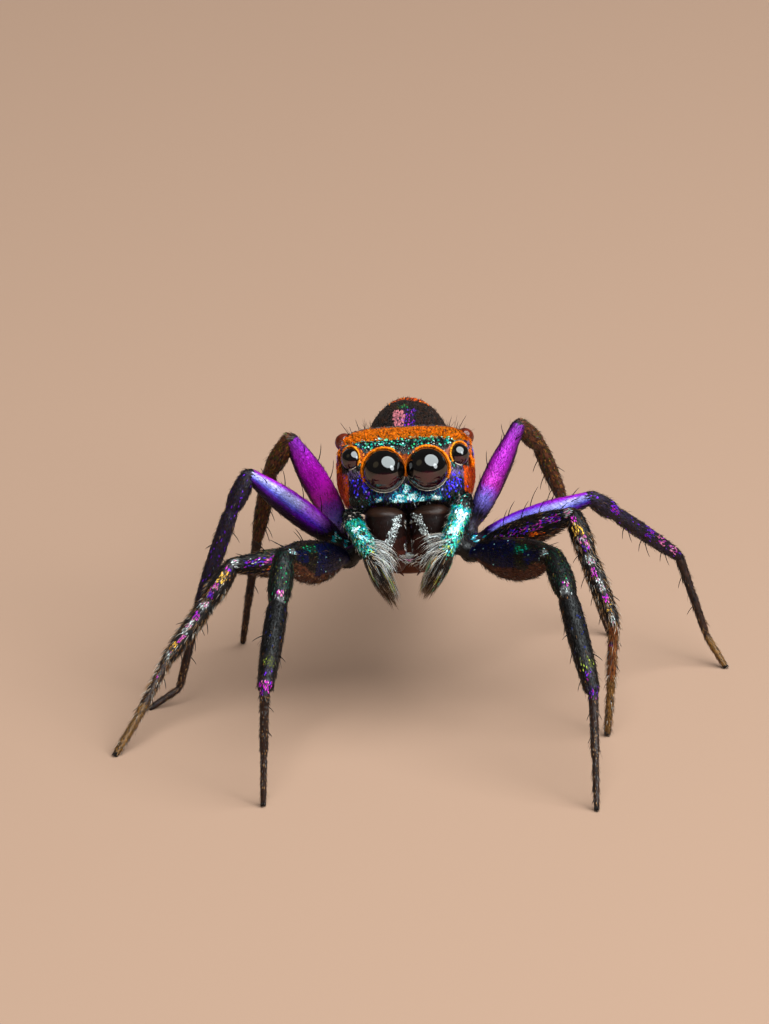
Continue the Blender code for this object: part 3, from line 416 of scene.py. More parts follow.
# Zones of the coat: the cuticle's colour and, for the scales on it, each colour's share.
ZONES = {
    "face": ("soot", {"soot": 6, "grey": 1.2, "black": 4}),
    "eye_rim": ("rust", {"orange": 7, "gold_orange": 2}),
    "crest": ("brown", {"orange": 8, "gold_orange": 1}),
    "forehead_high": ("soot", {"soot": 5, "black": 6, "grey": 2.4, "turquoise": 0.5, "cream": 0.3}),
    "forehead_low": ("soot", {"soot": 6, "black": 4, "grey": 3.0, "turquoise": 0.3, "cream": 0.5}),
    "forehead_blue": ("slate", {"soot": 4, "slate": 3, "periwinkle": 1.2, "turquoise": 0.8}),
    "cheek_blue": ("slate", {"slate": 6, "blue": 0.6, "violet": 0.7, "black": 3}),
    "cheek_lilac": ("lilac", {"lilac": 5, "slate": 3, "violet": 0.5, "soot": 1}),
    "cheek": ("slate", {"slate": 5, "soot": 5, "blue": 0.25, "violet": 0.3, "grey": 0.3}),
    "cheek_low": ("soot", {"soot": 6, "dark_green": 2, "turquoise": 0.25, "grey": 1.0}),
    "clypeus": ("deep_blue", {"cyan": 5, "turquoise": 3, "ice": 1.2, "deep_blue": 1.5}),
    # Painted white highlight in the middle of each cluster over the jaws.
    "clypeus_core": ("cyan", {"ice": 5, "white": 6, "cyan": 1, "pink": 0.15}),
    "clypeus_dark": ("deep_blue", {"deep_blue": 5, "black": 4, "cyan": 0.8, "turquoise": 0.5}),
    "flank": ("red_orange", {"red_orange": 8, "orange": 1, "rust": 1}),
    "back_orange": ("red_orange", {"red_orange": 5, "orange": 4, "gold_orange": 1}),
    "back_blue": ("deep_blue", {"periwinkle": 3, "violet": 3, "cyan": 2, "blue": 2}),
    "back_fuzz": ("soot", {"soot": 5, "grey": 2, "black": 2, "rust": 1}),
    "margin": ("slate", {"slate": 5, "soot": 3, "violet": 0.8}),
    "belly_dark": ("brown", {"soot": 3, "grey": 1, "brown": 3}),
    "abdomen_dark": ("brown", {"soot": 3, "brown": 5, "black": 4}),
    "abdomen_pink": ("slate", {"rose": 6, "pink": 0.8, "slate": 1.0}),
    "abdomen_violet": ("slate", {"violet": 1.4, "magenta": 0.9, "slate": 7}),
    "abdomen_green": ("dark_green", {"green": 0.8, "dark_green": 4, "olive": 2}),
    "abdomen_orange": ("rust", {"red_orange": 3, "orange": 1, "rust": 5, "brown": 4}),
    "jaw": ("maroon", {"maroon": 1}),
    "jaw_band": ("brown", {"grey": 1}),
    "jaw_low": ("wine", {"wine": 1}),
    "jaw_red": ("blood", {"maroon": 1}),
    # Painted white highlight down the middle of each palp's front.
    "palp_core": ("ice", {"ice": 5, "white": 6, "cyan": 1.2}),
    "palp_bright": ("dark_green", {"turquoise": 6, "mint": 1.4, "green": 2, "cyan": 3, "dark_green": 3}),
    "palp_speck": ("soot", {"turquoise": 3, "mint": 1.6, "soot": 4, "cyan": 1.6, "ice": 1.4, "lime": 1}),
    "palp_rim": ("soot", {"soot": 6, "black": 4, "grey": 1, "cream": 0.5, "turquoise": 0.7}),
    "palp_hand": ("soot", {"soot": 5, "brown": 2, "lime": 0.5, "turquoise": 0.6, "gold": 0.5}),
    "coxa": ("black", {"black": 5, "soot": 4, "grey": 0.8, "cyan": 0.25}),
    "coxa_cyan": ("dark_green", {"cyan": 5, "ice": 2.5, "turquoise": 3}),
    "leg_black": ("black", {"black": 6, "soot": 4, "deep_blue": 0.5}),
    "leg_speck": ("black", {"black": 5, "soot": 3, "brown": 1.5, "olive": 0.9, "dark_green": 0.8}),
    "leg_under": ("red_brown", {"red_brown": 5, "brown": 3, "tan": 0.35}),
    "leg_blue": ("navy", {"black": 4, "navy": 6, "dark_green": 0.6, "deep_blue": 1.2, "ice": 0.12}),
    "leg_green": ("black", {"dark_green": 3, "soot": 4, "black": 4, "olive": 0.8, "green": 0.08}),
    "leg_glint_green": ("dark_green", {"green": 1.6, "turquoise": 2, "dark_green": 3, "soot": 2}),
    "leg_olive": ("soot", {"olive": 5, "soot": 2, "lime": 0.8}),
    "leg_ice": ("grey", {"ice": 1.6, "silver": 3, "grey": 4}),
    "leg_grey": ("grey", {"grey": 5, "silver": 1, "soot": 2}),
    "leg_pink": ("slate", {"pink": 5, "magenta": 2.4, "silver": 0.8, "soot": 2}),
    "leg_magenta": ("slate", {"magenta": 5, "pink": 1.2, "violet": 0.8, "soot": 2}),
    "leg_violet": ("slate", {"violet": 5, "magenta": 1.4, "slate": 2.4}),
    "leg_dim_violet": ("slate", {"violet": 1.6, "magenta": 0.8, "slate": 4, "soot": 3}),
    "leg_glitter": ("soot", {"violet": 3, "magenta": 2.2, "blue": 0.8, "silver": 0.6, "black": 5}),
    "leg_gold": ("brown", {"gold": 5, "amber": 2, "cream": 0.6, "brown": 1.6}),
    "leg_silver": ("grey", {"silver": 4, "grey": 2.4, "pink": 1.2, "white": 0.4}),
    "leg_rust": ("rust", {"red_orange": 4, "orange": 2, "brown": 3}),
    "leg_brown": ("black", {"brown": 4, "soot": 4, "black": 3, "amber": 0.2}),
    "leg_orange": ("red_brown", {"red_brown": 4, "amber": 1.4, "brown": 4, "olive": 2}),
    "leg_dark_violet": ("slate", {"slate": 5, "violet": 0.3, "brown": 3, "soot": 3}),
    "foot_grey": ("brown", {"brown": 4, "grey": 3, "soot": 2, "tan": 1.4}),
    "foot_tan": ("honey", {"honey": 6, "brown": 5, "tan": 0.6, "soot": 1}),
    "foot_rust": ("copper", {"copper": 5, "amber": 2, "brown": 3, "tan": 0.6}),
    "foot_brown": ("brown", {"brown": 5, "red_brown": 3, "soot": 2, "tan": 0.9}),
    "foot_dark": ("brown", {"brown": 4, "soot": 4, "red_brown": 1, "slate": 2}),
}

# Zones of the head that blades cover, and those with fine dark hairs.
FURRY_ZONES = ["flank", "crest", "eye_rim", "back_orange"]
FUZZY_ZONES = ["cheek_low", "cheek", "forehead_low", "face", "clypeus_dark", "forehead_high"]

# Colours by share for the glints, the stripe of each jaw, and the hairs of legs and feet. The forehead's
# glints are turquoise scales painted bright and hardly metallic: painted glints.
GLINT_MIXES = {
    "forehead_glints": {"mint": 4, "turquoise": 3, "ice": 2, "green": 2},
    "cheek_glints": {"blue": 6, "periwinkle": 1, "violet": 1},
}
STRIPE_MIX = {"silver": 0.5, "white": 0.08, "grey": 0.42}
DARK_LEG_MIX = {"black": 5, "soot": 3, "brown": 2, "grey": 0.5, "tan": 0.4}
PALE_LEG_MIX = {"black": 3, "soot": 2, "brown": 3, "grey": 0.8, "tan": 1.8}
FOOT_MIX = {"brown": 3, "tan": 3, "soot": 2, "amber": 1}

# Fine hairs: how far they stray at the root and at the tip, colours by share, least and most
# length, radius, rows.
HAIR_KINDS = {
    "face_fuzz": (
        0.25, 0.3, {"soot": 4, "grey": 2.0, "black": 4, "dark_green": 1}, (0.03, 0.065), 0.0026, 2
    ),
    "over_jaws": (0.7, 0.7, {"cream": 2, "silver": 3, "grey": 3, "ice": 0.8}, (0.05, 0.13), 0.0030, 3),
    "by_fang": (0.2, 0.2, {"cream": 4, "silver": 3, "pink": 0.5}, (0.06, 0.12), 0.0036, 3),
    "jaw_fuzz": (0.2, 0.0, {"soot": 4, "brown": 3, "grey": 1}, (0.04, 0.08), 0.0022, 2),
    "abdomen_fuzz": (0.15, 0.0, {"soot": 3, "brown": 2, "black": 3}, (0.06, 0.12), 0.0032, 2),
    "leg_pale": (0.15, 0.0, {"cream": 2, "tan": 4, "grey": 2}, (0.06, 0.12), 0.0032, 3),
    "leg_under": (0.2, 0.1, {"tan": 3, "grey": 3, "cream": 1, "brown": 3}, (0.04, 0.08), 0.0024, 2),
    "palp_outer": (0.2, 0.0, {"cream": 1.5, "grey": 3, "soot": 4}, (0.05, 0.11), 0.0026, 3),
}

# Clusters of bright scales over the jaws, their middles painted white as highlights: across, up, half
# width, half height on the face.
CLYPEUS_CLUSTERS = [
    (-0.095, -0.345, 0.080, 0.072),
    (0.065, -0.305, 0.070, 0.055),
    (0.175, -0.350, 0.050, 0.050),
    (0.345, -0.330, 0.075, 0.042),
    (-0.005, -0.220, 0.036, 0.050),
    (-0.335, -0.325, 0.035, 0.026),
]
# Clusters of blue glitter on the cheeks.
CHEEK_CLUSTERS = [
    (-0.560, -0.120, 0.090, 0.075),
    (-0.475, -0.215, 0.050, 0.055),
    (-0.615, -0.235, 0.040, 0.060),
    (0.560, -0.160, 0.080, 0.080),
    (0.500, -0.250, 0.050, 0.050),
]

# Degrees from the top of a hind femur to the middle of its painted highlight streak, and where it
# begins.
SHEEN_MIDDLE = {(3, "right"): 52.0, (3, "left"): 56.0, (4, "right"): 72.0, (4, "left"): 38.0}
SHEEN_START = {(3, "right"): 0.27, (3, "left"): 0.20, (4, "right"): 0.14, (4, "left"): 0.22}
# Painted sheen round a third femur, by degrees from that middle, dark at the edges with a painted
# blue-white highlight in the middle: red, green, blue, metallic share.
THIRD_SHEEN = [
    (-115, (0.008, 0.003, 0.010, 0.2)),
    (-84, (0.070, 0.004, 0.090, 0.4)),
    (-56, (0.560, 0.010, 0.600, 0.4)),
    (-34, (0.420, 0.030, 0.860, 0.4)),
    (-14, (0.600, 0.520, 1.000, 0.25)),
    (8, (0.440, 0.460, 1.000, 0.25)),
    (26, (0.140, 0.130, 0.950, 0.4)),
    (42, (0.160, 0.012, 0.560, 0.4)),
    (58, (0.030, 0.005, 0.060, 0.3)),
    (110, (0.008, 0.003, 0.008, 0.2)),
]
# Colours along a fourth femur, and how bright they are round it: a painted sheen, brightest in the
# middle and dark at the edges.
FOURTH_SHEEN = [
    (0.10, (0.060, 0.020, 0.160, 0.4)),
    (0.28, (0.260, 0.200, 0.900, 0.4)),
    (0.38, (0.480, 0.060, 0.800, 0.4)),
    (0.44, (0.760, 0.030, 0.640, 0.4)),
    (0.62, (0.620, 0.008, 0.680, 0.4)),
    (0.80, (0.420, 0.010, 0.520, 0.4)),
    (0.97, (0.190, 0.014, 0.320, 0.4)),
    (1.10, (0.130, 0.012, 0.220, 0.4)),
]
FOURTH_WIDTHS = [
    (-100, 0.0),
    (-74, 0.15),
    (-48, 0.8),
    (-24, 1.0),
    (24, 1.0),
    (48, 0.8),
    (70, 0.1),
    (95, 0.0),
]


def unit(vectors):
    """The same directions with length one."""
    return vectors / np.maximum(np.linalg.norm(vectors, axis=-1, keepdims=True), 1e-12)


def turn(axis, degrees):
    """The matrix of a turn round an axis."""
    return np.array(Matrix.Rotation(math.radians(degrees), 3, axis))


HEAD_TURN = turn("X", -HEAD_PITCH) @ turn("Y", -HEAD_ROLL)
ABDOMEN_TURN = turn("X", -ABDOMEN_PITCH)
LEFTWARDS, BACKWARDS, UPWARDS = HEAD_TURN.T


def from_head(points):
    """Points of the head frame, in the stance."""
    return np.asarray(points, float) @ HEAD_TURN.T + (0.0, 0.0, EYE_HEIGHT)


def to_head(points):
    """Points of the stance, in the head frame."""
    return (np.asarray(points, float) - (0.0, 0.0, EYE_HEIGHT)) @ HEAD_TURN


def from_abdomen(points):
    """Points of the abdomen's own frame, in the stance."""
    return np.asarray(points, float) @ ABDOMEN_TURN.T + ABDOMEN_START


def to_abdomen(points):
    """Points of the stance, in the abdomen's own frame."""
    return (np.asarray(points, float) - ABDOMEN_START) @ ABDOMEN_TURN


def stance_shift():
    """How far the frame lies from the animal's own stance, from the boxes of the large eyes."""
    boxes = [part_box(f"eye_front_middle_{label}") for label, _ in SIDES]
    corners = [corner for box in boxes for corner in box]
    middle = np.mean(np.array(corners), axis=0) / MM
    return middle - from_head((0.0, EYE_LINE_BACK, 0.0))


SHIFT = stance_shift()


def in_frame(points):
    """Points of the stance, in metres in the frame."""
    return (np.asarray(points, float) + SHIFT) * MM


def smooth_step(low, high, value):
    """A smooth rise from nought at low to one at high."""
    t = np.clip((value - low) / (high - low), 0.0, 1.0)
    return t * t * (3 - 2 * t)


def smooth_through(knots, values, places):
    """A smooth curve through listed values, read at the given places."""
    knots = np.asarray(knots, float)
    values = np.asarray(values, float).reshape(len(knots), -1)
    slopes = np.gradient(values, knots, axis=0)
    before = np.clip(np.searchsorted(knots, places, side="right") - 1, 0, len(knots) - 2)
    step = (knots[before + 1] - knots[before])[:, None]
    t = ((places - knots[before]) / step[:, 0])[:, None]
    start = values[before] * (1 + 2 * t) * (1 - t) ** 2 + slopes[before] * step * t * (1 - t) ** 2
    end = values[before + 1] * t**2 * (3 - 2 * t) + slopes[before + 1] * step * t**2 * (t - 1)
    return start + end


def ripple(points, fineness, seed=0):
    """A smooth random-looking value between about -1 and 1, the same at the same point."""
    draw = np.random.default_rng(seed)
    total = np.zeros(len(points))
    for _ in range(5):
        wave = draw.normal(size=3) * fineness
        total += np.sin(points @ wave + draw.uniform(0, 2 * math.pi))
    return total / 2.4


class Spots:
    """Places on a surface that a coat grows from, each with its way out, way along and unwrap."""

    def __init__(self, **columns):
        self.__dict__.update(columns)

    def __len__(self):
        return len(self.point)

    def where(self, mask):
        """The spots that a mask keeps."""
        return Spots(**{name: column[mask] for name, column in self.__dict__.items()})


class Surface:
    """A tube of rings with closed ends, and its own unwrap in one cell of the coat's map."""

    def __init__(self, rings, cell=WHOLE_MAP, station=None):
        self.rings = np.asarray(rings, float)
        self.cell = cell
        self.station = np.zeros(len(self.rings)) if station is None else station
        around = np.roll(self.rings, -1, axis=1) - np.roll(self.rings, 1, axis=1)
        along = np.gradient(self.rings, axis=0)
        out = unit(np.cross(around, along))
        from_middle = self.rings - self.rings.mean(axis=1, keepdims=True)
        self.out = out if (from_middle * out).sum() > 0 else -out
        self.along = unit(along)

    def shrunk(self, depth):
        """The same surface, sunk by a depth."""
        return Surface(self.rings - self.out * depth, self.cell, self.station)

    def at(self, row, column):
        """Spots at fractional rows and columns."""
        rows, sides = self.rings.shape[:2]
        first = np.clip(row.astype(int), 0, rows - 2)
        down = (row - first)[:, None]
        left = column.astype(int) % sides
        right = (left + 1) % sides
        over = (column - column.astype(int))[:, None]

        def read(grid):
            near = grid[first, left] * (1 - over) + grid[first, right] * over
            far = grid[first + 1, left] * (1 - over) + grid[first + 1, right] * over
            return near * (1 - down) + far * down

        left_edge, bottom, right_edge, top = self.cell
        across = left_edge + (right_edge - left_edge) * column / sides
        upwards = bottom + (top - bottom) * row / (rows - 1)
        station = np.interp(row, np.arange(rows), self.station)
        return Spots(
            point=read(self.rings),
            out=unit(read(self.out)),
            along=unit(read(self.along)),
            patch=np.stack([across, upwards], axis=1),
            station=station,
            degrees=column / sides * 360.0,
        )

    def place(self, station, from_top):
        """One spot at a station of a limb, at degrees round from its top."""
        rows, sides = self.rings.shape[:2]
        row = np.array([np.interp(station, self.station, np.arange(rows))])
        column = np.array([((90.0 - from_top) % 360.0) / 360.0 * sides])
        return self.at(row, column)

    def spots(self, count, draw, share=None):
        """Random spots, spread evenly or as share(spots) says for each small face."""
        rows, sides = self.rings.shape[:2]
        near = self.rings[:-1]
        beside = np.roll(self.rings, -1, axis=1)[:-1]
        ahead = self.rings[1:]
        weight = np.linalg.norm(np.cross(beside - near, ahead - near), axis=2).ravel()
        if share is not None:
            faces = np.arange(len(weight))
            weight = weight * share(self.at(faces // sides + 0.5, faces % sides + 0.5))
        chosen = draw.choice(len(weight), count, p=weight / weight.sum())
        row = chosen // sides + draw.random(count)
        column = chosen % sides + draw.random(count)
        return self.at(row, column)


def oval_ring(middle, across, upwards, half_width, half_height, sides):
    """Points round an ellipse, from its left."""
    angle = np.linspace(0, 2 * math.pi, sides, endpoint=False)
    wide = np.outer(np.cos(angle) * half_width, across)
    return middle + wide + np.outer(np.sin(angle) * half_height, upwards)


def body_ring(along, half_width, top, bottom, upper_power, lower_power, drop, sides):
    """A section with its own squareness above and below, its points spaced evenly along it."""
    angle = np.linspace(0, 2 * math.pi, 720, endpoint=False)
    below = np.sin(angle) < 0
    power = np.where(below, lower_power, upper_power)
    share = np.abs(np.cos(angle)) ** (2 / power)
    rise = np.sign(np.sin(angle)) * np.abs(np.sin(angle)) ** (2 / power)
    height = (top + bottom) / 2 + (top - bottom) / 2 * rise
    height -= np.where(below, drop * smooth_step(*CHEEK_SHARES, share) * np.abs(rise), 0.0)
    wide = np.sign(np.cos(angle)) * share * half_width
    ring = np.stack([wide, np.full(len(angle), along), height], axis=1)
    closed = np.vstack([ring, ring[:1]])
    steps = np.linalg.norm(np.diff(closed, axis=0), axis=1)
    reach = np.concatenate([[0.0], np.cumsum(steps)])
    wanted = np.linspace(0, reach[-1], sides, endpoint=False)
    return np.stack([np.interp(wanted, reach, closed[:, i]) for i in range(3)], axis=1)


def cap(ring, beyond, rows, bulge):
    """Shrinking copies of a ring that close an end, bulged a little beyond it."""
    middle = ring.mean(axis=0)
    shares = np.linspace(0, 1, rows + 1)[1:]
    return [
        middle + beyond * bulge * math.sin(share * math.pi / 2) + (ring - middle) * max(1 - share, 0.015)
        for share in shares
    ]


def capped(rings, front_rows, rear_rows, bulge=0.0):
    """The rings with both ends closed."""
    first = unit(rings[0].mean(axis=0) - rings[1].mean(axis=0))
    last = unit(rings[-1].mean(axis=0) - rings[-2].mean(axis=0))
    front = cap(rings[0], first, front_rows, bulge)[::-1]
    return front + list(rings) + cap(rings[-1], last, rear_rows, bulge)


def body_surface(sections, place, sides, rows):
    """A smooth surface through sections of a body, set by a function into the stance."""
    table = np.array(sections, float)
    steps = np.linalg.norm(np.diff(table[:, :4], axis=0), axis=1)
    length = np.concatenate([[0.0], np.cumsum(steps)])
    smooth = smooth_through(length, table, np.linspace(0, length[-1], rows))
    rings = [place(body_ring(*section, sides)) for section in smooth]
    return Surface(capped(rings, 14, 8))


def upright_surface(sections, sign, sides, rows, cell=WHOLE_MAP):
    """A smooth surface through level sections of a mouthpart, in the head frame."""
    table = np.array(sections, float)
    smooth = smooth_through(-table[:, 0], table, np.linspace(-table[0, 0], -table[-1, 0], rows))
    rings = []
    for up, side, back, half_width, half_depth in smooth:
        middle = np.array((sign * side, back, up))
        ring = oval_ring(middle, (1, 0, 0), (0, 1, 0), half_width, half_depth, sides)
        rings.append(from_head(ring))
    return Surface(capped(rings, 6, 8, bulge=0.02), cell)


def bent_path(joints, reach, length, bend):
    """A path through the joints of a limb, rounded at each: places along it, points, headings."""
    places = np.arange(-bend, length + bend, PATH_STEP)
    path = np.stack([np.interp(places, reach, joints[:, i]) for i in range(3)], axis=1)
    before = places < 0
    path[before] += unit(joints[1] - joints[0]) * places[before][:, None]
    beyond = places > reach[-1]
    path[beyond] += unit(joints[-1] - joints[-2]) * (places[beyond] - reach[-1])[:, None]
    window = np.hanning(int(2 * bend / PATH_STEP) + 1)
    window /= window.sum()
    half = len(window) // 2
    path = np.stack([np.convolve(path[:, i], window, "valid") for i in range(3)], axis=1)
    return places[half : half + len(path)], path, unit(np.gradient(path, axis=0))


def round_form(rows):
    """The form of a round limb, from rows of place and radius."""
    return [(place, radius, radius, 0.0) for place, radius in rows]


def limb_surface(joints, form, sides, spacing, bend, cell=WHOLE_MAP):
    """One skin along a limb, by its joints and a form.

    The form lists segment and fraction, half width, half height, and how far the middle hangs.
    """
    joints = np.array(joints, float)
    lengths = np.linalg.norm(np.diff(joints, axis=0), axis=1)
    reach = np.concatenate([[0.0], np.cumsum(lengths)])
    form = np.array(form, float)
    form_reach = np.interp(form[:, 0], np.arange(len(reach)), reach)
    places, path, heading = bent_path(joints, reach, form_reach[-1], bend)

    wanted = np.arange(0, form_reach[-1] + spacing / 2, spacing)
    sizes = smooth_through(form_reach, form[:, 1:], wanted)
    rings = []
    for distance, (half_width, half_height, drop) in zip(wanted, sizes):
        middle = np.array([np.interp(distance, places, path[:, i]) for i in range(3)])
        ahead = unit(np.array([np.interp(distance, places, heading[:, i]) for i in range(3)]))
        across = unit(np.cross(ahead, (0.0, 0.0, 1.0)))
        upwards = np.cross(across, ahead)
        middle = middle - upwards * drop
        rings.append(oval_ring(middle, across, upwards, half_width, half_height, sides))
    station = np.interp(wanted, reach, np.arange(len(reach)))
    rows = 4
    rings = capped(rings, rows, rows, bulge=0.01)
    station = np.concatenate([[station[0]] * rows, station, [station[-1]] * rows])
    return Surface(rings, cell, station)


def linked(name, data):
    """An object of the scene with the given data."""
    made = bpy.data.objects.new(name, data)
    bpy.context.scene.collection.objects.link(made)
    return made


def built(name, builder):
    """An object of the scene from a finished mesh builder."""
    mesh = bpy.data.meshes.new(name)
    builder.to_mesh(mesh)
    builder.free()
    return linked(name, mesh)


def mesh_object(name, points, faces, smooth):
    """A linked mesh object from points of the stance, none of them under the floor."""
    placed = in_frame(points)
    placed[:, 2] = np.maximum(placed[:, 2], 0.0)
    mesh = bpy.data.meshes.new(name)
    mesh.vertices.add(len(points))
    mesh.vertices.foreach_set("co", placed.astype(np.float32).ravel())
    mesh.loops.add(faces.size)
    mesh.loops.foreach_set("vertex_index", faces.astype(np.int32).ravel())
    mesh.polygons.add(len(faces))
    starts = np.arange(len(faces)) * faces.shape[1]
    mesh.polygons.foreach_set("loop_start", starts.astype(np.int32))
    mesh.update(calc_edges=True)
    mesh.polygons.foreach_set("use_smooth", np.full(len(faces), smooth))
    return linked(name, mesh)


def paint(obj, colours):
    """Stores a colour and its metallic share on every point."""
    layer = obj.data.color_attributes.new("Tint", "FLOAT_COLOR", "POINT")
    layer.data.foreach_set("color", np.asarray(colours, np.float32).ravel())


def dress(obj, finish, nodes=()):
    """Gives a piece its material, hides the solids that it stands for, and lets it ride."""
    obj.data.materials.append(finish)
    if nodes:
        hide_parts(*nodes)
    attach(obj, BODY)


def picked(mix, count, draw):
    """Colours of the palette, drawn by name and share."""
    weights = np.array(list(mix.values()), float)
    table = np.array([PALETTE[name] for name in mix])
    return table[draw.choice(len(table), count, p=weights / weights.sum())]


def zone_colours(zones, draw=None):
    """The cuticle's colour for each zone name, or a scale's drawn from the zone's shares."""
    colours = np.zeros((len(zones), 4))
    for zone in np.unique(zones):
        mask = zones == zone
        skin_colour, mix = ZONES[zone]
        colours[mask] = PALETTE[skin_colour] if draw is None else picked(mix, mask.sum(), draw)
    if draw is not None:
        colours[:, :3] *= draw.uniform(0.75, 1.15, (len(zones), 1))
    return colours


def drawn_colours(mix, count, draw):
    """Colours for hairs, drawn by name and share, and hardly metallic."""
    colours = picked(mix, count, draw)
    colours[:, :3] *= draw.uniform(0.75, 1.2, (count, 1))
    colours[:, 3] *= 0.3
    return colours


def outward_quads(surface):
    """The small faces of a surface, all facing out."""
    rows, sides = surface.rings.shape[:2]
    row, column = np.meshgrid(np.arange(rows - 1), np.arange(sides), indexing="ij")
    beside = (column + 1) % sides
    corners = [
        row * sides + column,
        row * sides + beside,
        (row + 1) * sides + beside,
        (row + 1) * sides + column,
    ]
    quads = np.stack([corner.ravel() for corner in corners], axis=1)
    first = surface.rings.reshape(-1, 3)[quads]
    facing = np.cross(first[:, 1] - first[:, 0], first[:, 3] - first[:, 0])
    middle_out = surface.out.reshape(-1, 3)[quads[:, 0]]
    return quads[:, ::-1] if (facing * middle_out).sum() < 0 else quads


def skin(name, surfaces, tint_of, finish, slot, nodes):
    """One mesh of smooth skins, coloured as the coat over it."""
    points = []
    faces = []
    colours = []
    start = 0
    for surface in surfaces:
        rows, sides = surface.rings.shape[:2]
        places = np.repeat(np.arange(rows), sides).astype(float)
        turns = np.tile(np.arange(sides), rows).astype(float)
        spots = surface.at(np.minimum(places, rows - 1 - 1e-6), turns)
        points.append(surface.rings.reshape(-1, 3))
        faces.append(outward_quads(surface) + start)
        colours.append(tint_of(spots, None))
        start += rows * sides
    made = mesh_object(name, np.concatenate(points), np.concatenate(faces), True)
    paint(made, np.concatenate(colours))
    builder = bmesh.new()
    builder.from_mesh(made.data)
    bmesh.ops.holes_fill(builder, edges=[edge for edge in builder.edges if edge.is_boundary])
    builder.to_mesh(made.data)
    builder.free()
    dress(made, finish, nodes)


class Part:
    """Many small shapes of one form: their points, the form's faces, colours and places on the map."""

    def __init__(self, points, faces, colours, patch, spread):
        self.points = points
        self.faces = np.array(faces)
        if colours.ndim == 2:
            colours = np.repeat(colours[:, None, :], points.shape[1], axis=1)
        self.colours = colours
        self.patch = patch
        self.spread = np.array(spread, float)


LEAF_OUTLINE = [(0.0, 0.0), (0.35, 0.46), (0.78, 0.42), (1.0, 0.0), (0.78, -0.42), (0.35, -0.46)]
KITE_OUTLINE = [(0.0, 0.0), (0.58, 0.5), (1.0, 0.0), (0.58, -0.5)]
# Scales: length, width, how far the tip lifts, how unevenly they lie, outline.
SCALE_KINDS = {
    "clypeus": (0.040, 0.024, 0.2, 0.5, LEAF_OUTLINE),
    "face": (0.042, 0.011, 0.2, 0.3, LEAF_OUTLINE),
    "glint": (0.033, 0.024, 0.3, 0.5, LEAF_OUTLINE),
    "back": (0.070, 0.024, 0.16, 0.25, KITE_OUTLINE),
    "sternum": (0.060, 0.020, 0.16, 0.3, KITE_OUTLINE),
    "jaw_bead": (0.020, 0.016, 0.35, 0.5, LEAF_OUTLINE),
    "jaw_edge": (0.035, 0.009, 0.25, 0.3, KITE_OUTLINE),
    "abdomen": (0.075, 0.026, 0.14, 0.2, KITE_OUTLINE),
    "leg_smooth": (0.060, 0.022, 0.05, 0.05, KITE_OUTLINE),
    "leg": (0.046, 0.016, 0.12, 0.18, KITE_OUTLINE),
    "foot": (0.034, 0.010, 0.12, 0.14, KITE_OUTLINE),
    "palp": (0.046, 0.019, 0.2, 0.3, LEAF_OUTLINE),
}


def scales(spots, lie, kind, colours, draw):
    """Flat scales of a kind, a little domed, that lie along the surface with their tips raised."""
    length, width, lift, wobble, outline = SCALE_KINDS[kind]
    count = len(spots)
    lie = unit(lie + draw.normal(size=(count, 3)) * wobble)
    lie = unit(lie - spots.out * (lie * spots.out).sum(axis=1, keepdims=True))
    ahead = unit(lie + spots.out * (lift * draw.uniform(0.4, 1.6, (count, 1))))
    side = unit(np.cross(ahead, spots.out) + spots.out * draw.normal(size=(count, 1)) * wobble)
    face = np.cross(side, ahead)
    long = length * draw.uniform(0.75, 1.2, (count, 1))
    wide = width * draw.uniform(0.8, 1.2, (count, 1))
    rows = [(along, across, 0.0) for along, across in outline]
    rows += [(0.5, 0.0, 0.16), (0.5, 0.0, -0.06)]
    corners = [
        spots.point + ahead * long * along + side * wide * across + face * wide * raised
        for along, across, raised in rows
    ]
    rim = len(outline)
    faces = [(rim, (i + 1) % rim, i) for i in range(rim)]
    faces += [(rim + 1, i, (i + 1) % rim) for i in range(rim)]
    spread = [(across + 0.5, along) for along, across, _ in rows]
    return Part(np.stack(corners, axis=1), faces, colours, spots.patch, spread)


def strands(spots, root, bow, tip, radius, colours, rows=3, tip_colours=None, flat=1.0, glints=None):
    """Three-sided hairs or blades that bend from root by way of a bow point to a fine tip.

    Glints, where given, are colours for the rows in the middle of each hair.
    """
    radius = np.broadcast_to(np.asarray(radius, float), len(spots))[:, None]
    side = np.cross(tip - root, spots.out)
    side = unit(np.where(np.linalg.norm(side, axis=1, keepdims=True) > 1e-6, side, spots.along))
    if tip_colours is None:
        tip_colours = colours
    points = []
    spread = []
    shades = []
    for row in range(rows + 1):
        t = row / rows
        middle = root * (1 - t) ** 2 + bow * 2 * t * (1 - t) + tip * t**2
        ahead = unit((bow - root) * (1 - t) + (tip - bow) * t)
        across = unit(side - ahead * (side * ahead).sum(axis=1, keepdims=True))
        face = np.cross(across, ahead)
        shade = colours * (1 - t) + tip_colours * t
        if glints is not None and 0.3 < t < 0.7:
            shade = glints
        if row == rows:
            points.append(middle)
            spread.append((0.5, 1.0))
            shades.append(shade)
            break
        thick = radius * (1 - 0.55 * t)
        for corner in range(3):
            angle = math.radians(30 + 120 * corner)
            offset = across * math.cos(angle) + face * (math.sin(angle) * flat)
            points.append(middle + offset * thick)
            spread.append((corner / 2, t))
            shades.append(shade)
    faces = [(0, 1, 2)]
    for row in range(rows - 1):
        for corner in range(3):
            near = row * 3 + corner
            beside = row * 3 + (corner + 1) % 3
            faces += [(near, near + 3, beside), (beside, near + 3, beside + 3)]
    last = (rows - 1) * 3
    faces += [(last + corner, rows * 3, last + (corner + 1) % 3) for corner in range(3)]
    return Part(np.stack(points, axis=1), faces, np.stack(shades, axis=1), spots.patch, spread)


